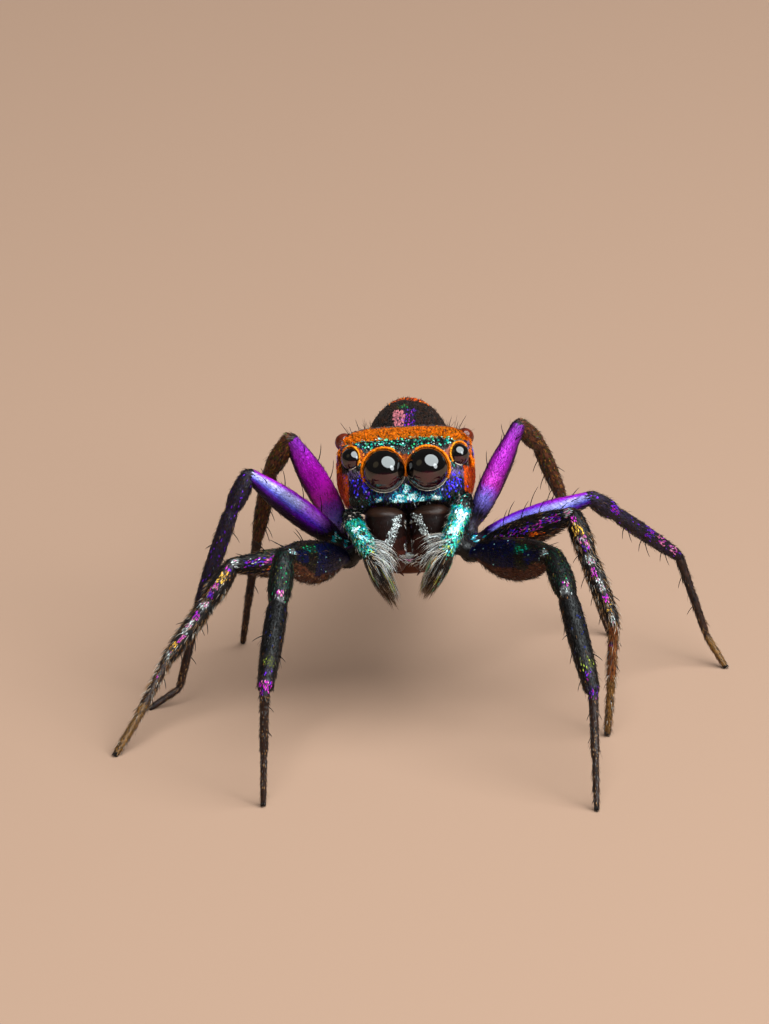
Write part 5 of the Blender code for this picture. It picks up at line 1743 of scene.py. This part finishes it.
def on_cheeks(spots):
    """Share of the cheeks' glints, most of them in the blue clusters."""
    side, back, up, height = face_place(spots)
    near = cluster_distance(side, height, CHEEK_CLUSTERS)
    return np.clip(1.7 - near, 0.02, 1.0) * (back < 0.2) * (up < 0.0) * (np.abs(side) > 0.4)


def over_jaws(spots):
    """Share of the pale hairs at the lower edge of the face."""
    side, back, up = to_head(spots.point).T
    return ((np.abs(side) < 0.30) & (back < 0.16) & (up < -0.355)).astype(float)


def make_face_coat(shell, scale_look, hair_look):
    """Scales of the face, its fine dark hairs, and pale hairs that hang over the jaws."""
    draw = np.random.default_rng(31)
    lie = -UPWARDS - BACKWARDS * 0.2
    face = clear_of_eyes(shell.spots(COUNTS["face"], draw, on_face), 0.004)
    zone = head_zone(face)
    large = np.isin(zone, ["clypeus", "clypeus_core"])
    parts = []
    for mask, kind in ((large, "clypeus"), (~large, "face")):
        parts.append(scales(face.where(mask), lie, kind, zone_colours(zone[mask], draw), draw))
    # The forehead's glints are painted: real turquoise scales made bright in their colour.
    for kind, share in (("forehead_glints", on_forehead), ("cheek_glints", on_cheeks)):
        glints = clear_of_eyes(shell.spots(COUNTS[kind], draw, share), 0.01)
        glints.point = glints.point + glints.out * 0.008
        colours = drawn_colours(GLINT_MIXES[kind], len(glints), draw)
        parts.append(scales(glints, lie, "glint", colours, draw))
    coat("coat_face", parts, scale_look, "carapace", False)

    fuzz = clear_of_eyes(shell.spots(COUNTS["face_fuzz"], draw, on_face), 0.01)
    fuzz = fuzz.where(np.isin(head_zone(fuzz), FUZZY_ZONES))
    start = fuzz.out * 0.7 + lie * 0.6
    parts = [fine_hairs(fuzz, "face_fuzz", start, fuzz.out * 0.3 + lie, draw)]
    edge = shell.spots(COUNTS["over_jaws"], draw, over_jaws)
    start = -UPWARDS * 0.6 - BACKWARDS * 0.7
    parts.append(fine_hairs(edge, "over_jaws", start, -UPWARDS + BACKWARDS * 0.1, draw))
    coat("hair_face", parts, hair_look, "carapace")


def crest_blades(shell, draw):
    """The crest's flat orange blades, combed forwards in ragged tufts."""

    def on_crest(spots):
        return (head_zone(spots) == "crest").astype(float)

    crest = clear_of_eyes(shell.spots(COUNTS["crest"], draw, on_crest), 0.006)
    side, back, _ = to_head(crest.point).T
    comb = ripple(np.stack([side * 1.0, back * 0.35, side * 0], axis=1), 30.0, 8)
    edge = smooth_step(0.42, 0.20, back)
    keep = comb + draw.normal(size=len(crest)) * 0.25 > -0.95 + 0.9 * edge
    crest = crest.where(keep)
    count = len(crest)
    back = to_head(crest.point)[:, 1]
    tuft = ripple(crest.point, 26.0, 10)[:, None] * 0.34 * LEFTWARDS
    flow = -BACKWARDS - UPWARDS * 0.25 + tuft
    start = flow + crest.out * 0.30 + draw.normal(size=(count, 3)) * 0.08
    end = flow + crest.out * 0.04 + draw.normal(size=(count, 3)) * 0.12
    length = draw.uniform(0.075, 0.125, count) * np.where(back < 0.3, 0.8, 1.0)
    tips = zone_colours(np.full(count, "crest"), draw)
    tips[draw.random(count) < 0.05] = PALETTE["black"]
    roots = tips * (0.75, 0.55, 1.0, 1.0)
    return hairs(crest, start, end, length, 0.0088, roots, 3, tips, 0.3)


def flank_blades(shell, draw):
    """Short soft blades of the flanks, the front of the orange back and the rims of the eyes."""

    def on_flank(spots):
        zone = head_zone(spots)
        back = to_head(spots.point)[:, 1]
        share = ((zone == "flank") | ((zone == "back_orange") & (back < 1.2))).astype(float)
        return np.where(zone == "eye_rim", 3.0, share)

    flank = clear_of_eyes(shell.spots(COUNTS["flank"], draw, on_flank), 0.004)
    count = len(flank)
    zone = head_zone(flank)
    flow = BACKWARDS * 0.5 - UPWARDS + ripple(flank.point, 18.0, 11)[:, None] * 0.2 * BACKWARDS
    start = flow + flank.out * 0.25 + draw.normal(size=(count, 3)) * 0.08
    end = flow + flank.out * 0.03 + draw.normal(size=(count, 3)) * 0.08
    tips = zone_colours(zone, draw)
    length = draw.uniform(0.05, 0.085, count) * np.where(zone == "eye_rim", 0.5, 1.0)
    return hairs(flank, start, end, length, 0.0085, tips * (0.7, 0.6, 1, 1), 2, tips, 0.3)


def make_crest(shell, hair_look):
    """The orange crest with the blades of the flanks."""
    draw = np.random.default_rng(37)
    parts = [crest_blades(shell, draw), flank_blades(shell, draw)]
    coat("coat_crest", parts, hair_look, "carapace")


def make_back_coat(shell, sternum, scale_look):
    """Scales of the carapace behind the face, and of the sternum."""
    draw = np.random.default_rng(33)

    def behind_face(spots):
        _, back, up = to_head(spots.point).T
        zone = head_zone(spots)
        keep = (back > 0.30) & (up > -0.74) & ~np.isin(zone, ["crest", "flank"])
        return keep * np.where((zone == "back_orange") & (back < 1.2), 0.3, 1.0)

    rest = clear_of_eyes(shell.spots(COUNTS["back"], draw, behind_face), 0.004)
    colours = zone_colours(head_zone(rest), draw)
    parts = [scales(rest, BACKWARDS - UPWARDS * 0.25, "back", colours, draw)]
    below = sternum.spots(COUNTS["sternum"], draw)
    colours = zone_colours(np.full(len(below), "belly_dark"), draw)
    parts.append(scales(below, BACKWARDS, "sternum", colours, draw))
    coat("coat_carapace", parts, scale_look, "carapace", False)


def top_spot(shell, side, back):
    """The spot of the upper shell nearest to a place in the head frame."""
    places = to_head(shell.rings.reshape(-1, 3))
    off = (places[:, 0] - side) ** 2 + (places[:, 1] - back) ** 2 + (places[:, 2] < 0) * 9.0
    row, column = divmod(int(np.argmin(off)), shell.rings.shape[1])
    return shell.at(np.array([float(row)]), np.array([float(column)]))


def make_bristles(shell, dark_look):
    """Long black bristles on the head, where the solids have them, and finer ones among them."""
    draw = random.Random(7)
    parts = []
    for side, back, length in HEAD_BRISTLES:
        for sign in (1, -1):
            spot = top_spot(shell, sign * side, back)
            way = unit(spot.out - BACKWARDS * draw.uniform(0.5, 0.8))
            reach = length * draw.uniform(0.9, 1.1)
            bend = unit(way - UPWARDS * 0.12 - BACKWARDS * 0.2)
            parts.append(hairs(spot, way, bend, reach, 0.0052, BLACK, 5))
    fine = np.random.default_rng(38)
    for _ in range(COUNTS["fine_bristles"]):
        sign = fine.choice((-1, 1))
        spot = top_spot(shell, sign * fine.uniform(0.1, 0.74), fine.uniform(0.22, 1.1))
        way = unit(spot.out + fine.normal(size=3) * 0.35 - BACKWARDS * 0.3)
        bend = unit(way + fine.normal(size=3) * 0.15 + UPWARDS * 0.2)
        parts.append(hairs(spot, way, bend, fine.uniform(0.08, 0.19), 0.0026, BLACK, 4))
    coat("hair_head_bristles", parts, dark_look, "carapace")


def emergence(shell, centre, look, radius, angles, across, upwards):
    """At each angle round an eye, how far along its look the ball comes out of the head."""
    tree = KDTree(shell.rings.shape[0] * shell.rings.shape[1])
    flat = shell.rings.reshape(-1, 3)
    outs = shell.out.reshape(-1, 3)
    for index, point in enumerate(flat):
        tree.insert(point, index)
    tree.balance()
    found = []
    for angle in angles:
        radial = across * math.cos(angle) + upwards * math.sin(angle)
        depth = 0.9
        for step in np.linspace(-0.9, 0.9, 37):
            point = centre + (radial * math.sqrt(1 - step**2) + look * step) * radius
            _, index, _ = tree.find(point)
            if (point - flat[index]) @ outs[index] > 0:
                depth = step
                break
        found.append(depth)
    return np.array(found)


def rim_look(name, high, outward, draw):
    """Colour names and lengths of the hairs round an eye, by how high and how far out they sit."""
    count = len(high)
    if "middle" in name:
        orange = high > -0.34 - 0.14 * (outward > 0)
        ragged = 0.7 + 0.5 * draw.random(count)
        reach = np.where(orange, np.where(outward < -0.5, 0.005, 0.028) * ragged, 0.0)
        return np.where(orange, "orange", "cream"), reach
    if "front" in name:
        inner = outward < -0.2
        names = np.where(inner & (high > -0.55), "gold_orange", "soot")
        names = np.where((high > 0.5) & (outward > -0.3), "orange", names)
        names = np.where((high < -0.70) & (outward < 0.2), "cream", names)
        return names, np.where(names == "soot", 0.012, draw.uniform(0.020, 0.034, count))
    names = np.where(draw.random(count) < 0.7, "black", "brown")
    return names, draw.uniform(0.008, 0.016, count)


def eye_rim(shell, name, centre, look, radius, draw):
    """The ring of hairs round one eye. Pale ones lie on the lens as a lip under it."""
    upwards = unit(UPWARDS - look * (UPWARDS @ look))
    across = np.cross(upwards, look)
    outer = 1.0 if "left" in name else -1.0
    if across @ LEFTWARDS * outer < 0:
        across = -across
    middle = "middle" in name
    count = COUNTS["large_rim" if middle else "small_rim"]
    angle = draw.uniform(0, 2 * math.pi, count)
    samples = np.linspace(0, 2 * math.pi, 73)
    depths = emergence(shell, centre, look, radius, samples, across, upwards)
    depth = np.clip(np.interp(angle, samples, depths), -0.6, 0.8)
    high = np.sin(angle)
    outward = np.cos(angle)
    radial = np.outer(outward, across) + np.outer(high, upwards)
    edge = radial * np.sqrt(1 - depth**2)[:, None] + look * depth[:, None]
    names, reach = rim_look(name, high, outward, draw)
    pale = names == "cream"
    colours = np.array([PALETTE[name] for name in names])
    # The pale lip hairs are cream, painted half again brighter as painted light, since they lie in the
    # shade under the lens.
    colours[:, :3] *= draw.uniform(0.8, 1.15, (count, 1)) * np.where(pale, 1.5, 1.0)[:, None]
    rise = 1.01 + draw.uniform(0.0, 0.03, (count, 1))
    root = centre + edge * radius * rise
    patch = np.stack([angle / (2 * math.pi), np.full(count, 0.5)], axis=1)
    out = np.broadcast_to(look, radial.shape)
    spots = Spots(point=root, out=out, along=radial, patch=patch)
    start = unit(radial + look * 0.6 + draw.normal(size=radial.shape) * 0.15)
    end = unit(radial + look * 0.1 + draw.normal(size=radial.shape) * 0.22)
    bow = root + start * reach[:, None] * 0.5
    tip = bow + end * reach[:, None] * 0.5
    forwards = np.maximum(-high, 0.0) * draw.uniform(0.36, 0.42, count)
    lip = centre + radial * radius * 1.035 + look * (forwards * radius)[:, None]
    lip_bow = centre + radial * radius * 1.045 + look * (forwards * radius * 0.5)[:, None]
    bow = np.where(pale[:, None], lip_bow, bow)
    tip = np.where(pale[:, None], lip, tip)
    radii = np.where(middle & (outward < -0.5), 0.0046, 0.0072)
    return strands(spots, root, bow, tip, radii, colours, 2, None, 0.5)


def make_rims(shell, hair_look):
    """Rings of short flat scale hairs round the eyes, orange above and pale below in front."""
    draw = np.random.default_rng(41)
    parts = [
        eye_rim(shell, name, centre, look, radius, draw)
        for name, centre, look, radius in eye_places()
        if "small" not in name
    ]
    coat("coat_eye_rims", parts, hair_look, "carapace")


def jaw_scales(jaw, sign, draw):
    """Silvery beads in a stripe down a jaw, and narrow pale scales at its inner edge."""

    def on_stripe(spots):
        side, back, up = to_head(spots.point).T
        middle = 0.112 + (-0.55 - up) * 0.40
        off = np.abs(sign * side - middle) + 0.012 * ripple(spots.point, 30.0, 4)
        inside = (off < 0.056) & (up < -0.535) & (up > -1.02) & (back < 0.25)
        return inside * np.clip(1.6 - off / 0.036, 0.1, 1.0)

    def inner_edge(spots):
        side, back, up = to_head(spots.point).T
        high = (up < -0.60) & (up > -0.70) & (sign * side > 0.03)
        low = (up < -0.84) & (up > -1.0)
        return ((sign * side < 0.06) & (back < 0.14) & (high | low)).astype(float)

    stripe = jaw.spots(COUNTS["jaw_stripe"], draw, on_stripe)
    colours = picked(STRIPE_MIX, len(stripe), draw)
    beads = scales(stripe, stripe.along, "jaw_bead", colours, draw)
    edge = jaw.spots(COUNTS["jaw_edge"], draw, inner_edge)
    colours = drawn_colours({"silver": 3, "cream": 2, "lilac": 2}, len(edge), draw)
    return [beads, scales(edge, edge.along, "jaw_edge", colours, draw)]


def jaw_hairs(jaw, sign, draw):
    """A comb of pale hairs by the fang, and a few fine dark ones all over the jaw."""

    def by_fang(spots):
        side, back, up = to_head(spots.point).T
        inside = (up < -1.02) & (up > -1.16) & (sign * side < 0.22) & (back < 0.22)
        return inside.astype(float)

    comb = jaw.spots(COUNTS["by_fang"], draw, by_fang)
    start = comb.out * 0.8 - LEFTWARDS * sign * 0.4
    end = -LEFTWARDS * sign * 0.8 - UPWARDS * 0.7
    combed = fine_hairs(comb, "by_fang", start, end, draw)
    fuzz = jaw.spots(COUNTS["jaw_fuzz"], draw)
    start = fuzz.out + fuzz.along * 0.6
    end = fuzz.along + fuzz.out * 0.3
    return [combed, fine_hairs(fuzz, "jaw_fuzz", start, end, draw)]


def make_jaw_coat(jaws, scale_look, hair_look):
    """Scales and hairs of both jaws."""
    draw = np.random.default_rng(45)
    beads = []
    parts = []
    for label, sign in SIDES:
        beads += jaw_scales(jaws[label], sign, draw)
        parts += jaw_hairs(jaws[label], sign, draw)
    coat("coat_chelicerae", beads, scale_look, "chelicera", False)
    coat("hair_chelicerae", parts, hair_look, "chelicera")


def make_abdomen_coat(abdomen, scale_look, hair_look):
    """Scales of the abdomen and fine dark hairs among them."""
    draw = np.random.default_rng(51)
    spots = abdomen.spots(COUNTS["abdomen"], draw)
    colours = zone_colours(abdomen_zone(spots), draw)
    part = scales(spots, spots.along, "abdomen", colours, draw)
    coat("coat_abdomen", [part], scale_look, "abdomen", False)
    spots = abdomen.spots(COUNTS["abdomen_fuzz"], draw)
    start = spots.out * 0.6 + spots.along
    part = fine_hairs(spots, "abdomen_fuzz", start, spots.out * 0.1 + spots.along, draw)
    coat("hair_abdomen", [part], hair_look, "abdomen")


def between(low, high):
    """A share function: one between two stations of a limb, nought elsewhere."""
    return lambda spots: ((spots.station > low) & (spots.station < high)).astype(float)


def leg_scales(surface, pair, label, sign, draw):
    """Scales of one leg, smoothest on a hind femur and finest on the foot."""

    def covered(spots):
        station = spots.station
        share = (station > 0.2) * np.where(station > 4.05, 0.8, 1.0)
        if pair == 1:
            share = share * np.where((station > 0.7) & (station < 1.12), 0.12, 1.0)
        return share * (spots.point[:, 2] > 0.02)

    spots = surface.spots(LEG_SCALES[pair], draw, covered)
    smooth = (pair > 2) & (spots.station > 1.08) & (spots.station < 1.97)
    foot = spots.station > 4.0
    tint_of = leg_tint_of(pair, label, sign)
    parts = []
    for mask, kind in ((smooth, "leg_smooth"), (~smooth & ~foot, "leg"), (foot, "foot")):
        some = spots.where(mask)
        if len(some):
            parts.append(scales(some, some.along, kind, tint_of(some, draw), draw))
    return parts


def leg_hairs(surface, pair, draw):
    """Fine hairs of one leg, pale ones on the second pair, and those under the front femora."""

    def haired(spots):
        station = spots.station
        share = np.where(station > 4.0, 1.5, 1.0) * (station > 0.9)
        if pair > 2:
            share = share * np.where((station > 1) & (station < 2), 0.25, 1.0)
        return share * (spots.point[:, 2] > 0.07)

    def underside(spots):
        return between(1.15, 1.95)(spots) * (spots.out[:, 2] < -0.3)

    spots = surface.spots(LEG_HAIRS[pair], draw, haired)
    count = len(spots)
    lift = draw.uniform(0.2, 0.75, (count, 1))
    start = spots.along + spots.out * lift + draw.normal(size=(count, 3)) * 0.12
    end = spots.along + spots.out * lift * 0.4
    length = draw.uniform(0.045, 0.085, count)
    length *= np.where(spots.station > 4.0, 0.8, 1.0)
    length *= np.where(draw.random(count) < 0.05, 1.8, 1.0)
    colours = drawn_colours(PALE_LEG_MIX if pair == 2 else DARK_LEG_MIX, count, draw)
    foot_hair = drawn_colours(FOOT_MIX, count, draw)
    if pair != 1:
        colours = np.where((spots.station > 4.75)[:, None], foot_hair, colours)
    parts = [hairs(spots, start, end, length, 0.0026, colours, 2)]
    if pair == 2:
        pale = surface.spots(COUNTS["leg_pale"], draw, between(2.5, 5.8))
        start = pale.along + pale.out * 0.7
        shorter = np.where(pale.station > 4.9, 0.7, 1.0)
        parts.append(
            fine_hairs(pale, "leg_pale", start, pale.along + pale.out * 0.25, draw, shorter)
        )
    if pair < 3:
        spots = surface.spots(COUNTS["leg_under"], draw, underside)
        start = spots.along * 0.8 + spots.out
        parts.append(fine_hairs(spots, "leg_under", start, spots.along + spots.out * 0.3, draw))
    return parts


def make_leg_coat(surfaces, scale_look, hair_look):
    """Flat scales on each leg, and fine hairs, few where the photo shows it smooth."""
    for pair in LEG_LENGTHS:
        scale_parts = []
        hair_parts = []
        for label, sign in SIDES:
            draw = np.random.default_rng(60 + 2 * pair + (sign > 0))
            surface = surfaces[pair, label]
            scale_parts += leg_scales(surface, pair, label, sign, draw)
            hair_parts += leg_hairs(surface, pair, draw)
        coat(f"coat_legs_{pair}", scale_parts, scale_look, leg_slot(pair), False)
        coat(f"hair_legs_{pair}", hair_parts, hair_look, leg_slot(pair))


def leg_spines(surface, rows, draw):
    """Long spines of one leg, from rows of station, degrees from its top and length."""
    spines = []
    for station, from_top, length in rows:
        spot = surface.place(station, from_top + draw.uniform(-6, 6))
        lean = math.radians(SPINE_LEAN + draw.uniform(-8, 8))
        start, end = (
            spot.out * math.cos(lean + turned) + spot.along * math.sin(lean + turned)
            for turned in (-0.1, 0.35)
        )
        reach = length * draw.uniform(0.9, 1.1)
        spines.append(hairs(spot, start, end, reach, SPINE_RADIUS, BLACK, 6))
    return spines


def foot_claws(surface, before, foot):
    """Two claws at the end of a foot, which runs from one joint to another."""
    toe = unit(foot - before)
    forwards = unit(np.array((toe[0], toe[1], 0.0)))
    root = foot - toe * CLAW_HEIGHT
    spot = surface.place(5.9, 90.0)
    claws = []
    for side in (1, -1):
        way = forwards @ turn("Z", side * CLAW_SPREAD).T
        bow = root + way * CLAW_LENGTH * 0.75 + np.array((0.0, 0.0, 0.012))
        tip = root + way * CLAW_LENGTH + np.array((0.0, 0.0, -0.026))
        claws.append(strands(spot, root[None], bow[None], tip[None], CLAW_RADIUS, BLACK, 6))
    return claws


def make_spines(surfaces, dark_look):
    """Long leg spines where the solids have them, and the claws of each foot."""
    for pair in LEG_LENGTHS:
        rows = [(femur_station(pair, fraction), top, long) for fraction, top, long in FEMUR_SPINES]
        rows += [(3 + fraction, top, long) for fraction, top, long in TIBIA_SPINES]
        rows += [(4 + fraction, top, long) for fraction, top, long in METATARSUS_SPINES]
        parts = []
        for label, sign in SIDES:
            surface = surfaces[pair, label]
            parts += leg_spines(surface, rows, random.Random(100 + 10 * pair + sign))
            parts += foot_claws(surface, *leg_joints(pair, label, sign)[-2:])
        coat(f"spines_legs_{pair}", parts, dark_look, leg_slot(pair))


def palp_fringe(palp, sign, inwards, draw):
    """Long pale hairs that fan from the inner side of a palp over the jaw."""
    first = 2.74 if sign > 0 else 2.82

    def inner(spots):
        near = (spots.station > first) & (spots.station < 3.15)
        return (near & (spots.out @ inwards > -0.1)).astype(float)

    fringe = palp.spots(COUNTS["fringe"], draw, inner)
    count = len(fringe)
    length = draw.uniform(0.16, 0.36, (count, 1))
    spray = draw.normal(size=(count, 3)) * 0.028
    droop = np.interp(fringe.station, [2.74, 3.15], [0.2, 0.9])[:, None]
    bow = fringe.point + (inwards * 0.6 + fringe.out * 0.4) * length * 0.6 + spray * 0.3
    way = inwards * (1.0 - 0.3 * droop) - UPWARDS * droop - BACKWARDS * 0.12
    tip = fringe.point + unit(way) * length + spray
    colours = drawn_colours({"white": 3, "cream": 3, "grey": 4}, count, draw)
    return strands(fringe, fringe.point, bow, tip, 0.0027, colours, 5)


def palp_brush(palp, joints, inwards, draw):
    """The brush of a palp: dark and pale hairs swept to its tip, some with a metallic glint."""
    wrist, tip_of_hand = joints[3:]
    axis = unit(tip_of_hand - wrist)
    reach = np.linalg.norm(tip_of_hand - wrist)
    low, high = (3 + fraction for fraction in BRUSH_ROOTS)
    brush = palp.spots(COUNTS["brush"], draw, between(low, high))
    count = len(brush)
    row = (brush.station - low) / (high - low)
    first, last = BRUSH_ENDS
    end_share = first + (last - first) * (0.25 + 0.75 * row) * draw.uniform(0.2, 1.05, count)
    spread = draw.uniform(0.05, 1.0, count) * (BRUSH_SPREAD - 0.075 * end_share)
    tip = wrist + axis * (reach * end_share)[:, None] + brush.out * spread[:, None]
    tip = tip + draw.normal(size=(count, 3)) * 0.022
    bow = brush.point + axis * (reach * 0.17) + brush.out * draw.uniform(0.0, 0.075, (count, 1))
    bow = bow + draw.normal(size=(count, 3)) * 0.012
    inner_share = np.clip(brush.out @ inwards, 0, 1)
    pale = draw.random(count) < 0.16 + 0.44 * inner_share
    colours = drawn_colours({"soot": 4, "black": 4, "brown": 3}, count, draw)
    light_hair = drawn_colours({"silver": 3, "cream": 2, "grey": 3, "tan": 1}, count, draw)
    colours = np.where(pale[:, None], light_hair, colours)
    tips = colours * 0.5 + np.array(PALETTE["tan"]) * np.where(pale, 0.7, 0.30)[:, None]
    radius = np.where(pale, 0.0036, 0.0048)
    patchy = ripple(brush.point * 1.0 + tip * 0.6, 22.0, 12) > 0.55
    bright = patchy & (draw.random(count) < 0.55)
    shine = drawn_colours({"lime": 3, "gold": 3, "turquoise": 2, "mint": 1}, count, draw)
    glints = np.where(bright[:, None], shine, colours)
    radius = np.where(bright, 0.0066, radius)
    return strands(brush, brush.point, bow, tip, radius, colours, 6, tips, 0.6, glints)


def make_palp_coat(palps, scale_look, hair_look):
    """Bright scales on the palps, pale fringes over the jaws, and the brushes."""
    scale_parts = []
    hair_parts = []

    def covered(spots):
        return (spots.station < 3.5) * np.where(spots.station < 1.8, 0.3, 1.0)

    for label, sign in SIDES:
        draw = np.random.default_rng(81 + sign)
        palp = palps[label]
        spots = palp.spots(COUNTS["palp"], draw, covered)
        colours = zone_colours(palp_zone(spots), draw)
        scale_parts.append(scales(spots, spots.along, "palp", colours, draw))
        inwards = -sign * LEFTWARDS
        hair_parts.append(palp_fringe(palp, sign, inwards, draw))
        outer = palp.spots(COUNTS["palp_outer"], draw, between(1.9, 3.1))
        start = outer.along + outer.out * 0.9
        end = outer.along + outer.out * 0.3
        hair_parts.append(fine_hairs(outer, "palp_outer", start, end, draw))
        hair_parts.append(palp_brush(palp, from_head(PALP_JOINTS[label]), inwards, draw))
    coat("coat_palps", scale_parts, scale_look, "palp", False)
    coat("hair_palps", hair_parts, hair_look, "brush")


def light(name, place, size, radiance, colour):
    """A soft oval light at a place from the head, aimed at it and level from side to side."""
    data = bpy.data.lights.new(name, "AREA")
    data.shape = "ELLIPSE"
    data.size = size[0] * MM
    data.size_y = size[1] * MM
    data.energy = radiance * math.pi * data.size * data.size_y * math.pi / 4
    data.color = colour
    made = linked(name, data)
    head = from_head((0.0, 0.0, 0.0))
    made.location = in_frame(head + place)
    back = unit(in_frame(head + place) - in_frame(head))
    right = unit(np.cross((0.0, 0.0, 1.0), back))
    upwards = np.cross(back, right)
    made.rotation_euler = Matrix(np.stack([right, upwards, back], axis=1).tolist()).to_euler()


FLOOR_COLOUR = (0.375, 0.232, 0.162)
FLOOR_RADIUS = 0.6
WORLD_COLOUR = (1.0, 0.92, 0.88)
WORLD_STRENGTH = 0.07
# Lights: place from the head, width and height in millimetres, brightness, colour.
LIGHTS = {
    "key": ((33.3, -26.1, 79.47), (126.0, 118.0), 6.4, (0.89, 0.98, 1.0)),
    "key_low": ((63.0, -50.4, 39.87), (34.0, 42.0), 6.7, (0.91, 0.98, 1.0)),
    "fill": ((-62.0, -30.0, 58.0), (50.0, 50.0), 0.30, (1.0, 0.80, 0.45)),
    "back": ((0.0, 100.0, 14.0), (120.0, 30.0), 0.8, (1.0, 0.84, 0.72)),
}


def make_stage():
    """A plain pale floor and soft studio light."""
    builder = bmesh.new()
    bmesh.ops.create_circle(builder, cap_ends=True, segments=96, radius=FLOOR_RADIUS)
    floor = built("floor", builder)
    pale = bpy.data.materials.new("pale_floor")
    pale.use_nodes = True
    shader = pale.node_tree.nodes["Principled BSDF"]
    shader.inputs["Base Color"].default_value = (*FLOOR_COLOUR, 1.0)
    shader.inputs["Roughness"].default_value = 0.7
    shader.inputs["Specular IOR Level"].default_value = 0.1
    floor.data.materials.append(pale)
    for name, row in LIGHTS.items():
        light(name, *row)

    world = bpy.data.worlds.new("studio")
    bpy.context.scene.world = world
    world.use_nodes = True
    background = world.node_tree.nodes["Background"]
    background.inputs["Color"].default_value = (*WORLD_COLOUR, 1.0)
    background.inputs["Strength"].default_value = WORLD_STRENGTH


def make_camera():
    """The photo's view: from the front, a little above, as far off as it was taken."""
    rise = math.radians(CAMERA_RISE)
    ahead = np.array((0.0, math.cos(rise), -math.sin(rise)))
    upwards = np.array((0.0, math.sin(rise), math.cos(rise)))
    width, height = IMAGE_SIZE
    right = (width / 2 - EYES_IN_IMAGE[0]) / PIXELS_PER_MM
    down = (height / 2 - EYES_IN_IMAGE[1]) / PIXELS_PER_MM
    aim = np.array((0.0, 0.0, EYE_HEIGHT)) + np.array((right, 0.0, 0.0)) - upwards * down
    data = bpy.data.cameras.new("camera")
    data.sensor_width = SENSOR
    data.lens = PIXELS_PER_MM * CAMERA_DISTANCE * SENSOR / height
    data.clip_start = 0.005
    data.clip_end = 2.0
    camera = linked("camera", data)
    camera.location = in_frame(aim - ahead * CAMERA_DISTANCE)
    camera.rotation_euler = Vector(ahead).to_track_quat("-Z", "Y").to_euler()
    bpy.context.scene.camera = camera


def main():
    """Makes the looks, the stage, the skins and the coats."""
    scale_look = scale_finish("scales", 0.30, 0.35)
    dull_look = scale_finish("scales_dull", 0.55, 0.08)
    leg_look = scale_finish("scales_leg", 0.36, 0.2)
    hair_look = hair_finish("hairs", 0.5, 0.25)
    crest_look = hair_finish("crest_hairs", 0.65, 0.15)
    dark_look = hair_finish("dark_spines", 0.4, 0.3)
    make_stage()
    make_camera()
    make_eyes()
    shell, sternum, abdomen = make_body()
    legs = make_legs()
    palps, jaws = make_mouth()
    make_face_coat(shell, scale_look, hair_look)
    make_crest(shell, crest_look)
    make_back_coat(shell, sternum, leg_look)
    make_bristles(shell, dark_look)
    make_rims(shell, crest_look)
    make_jaw_coat(jaws, scale_look, hair_look)
    make_abdomen_coat(abdomen, dull_look, hair_look)
    make_leg_coat(legs, leg_look, hair_look)
    make_spines(legs, dark_look)
    make_palp_coat(palps, scale_look, hair_look)
    bpy.context.scene.view_settings.view_transform = "Standard"


main()
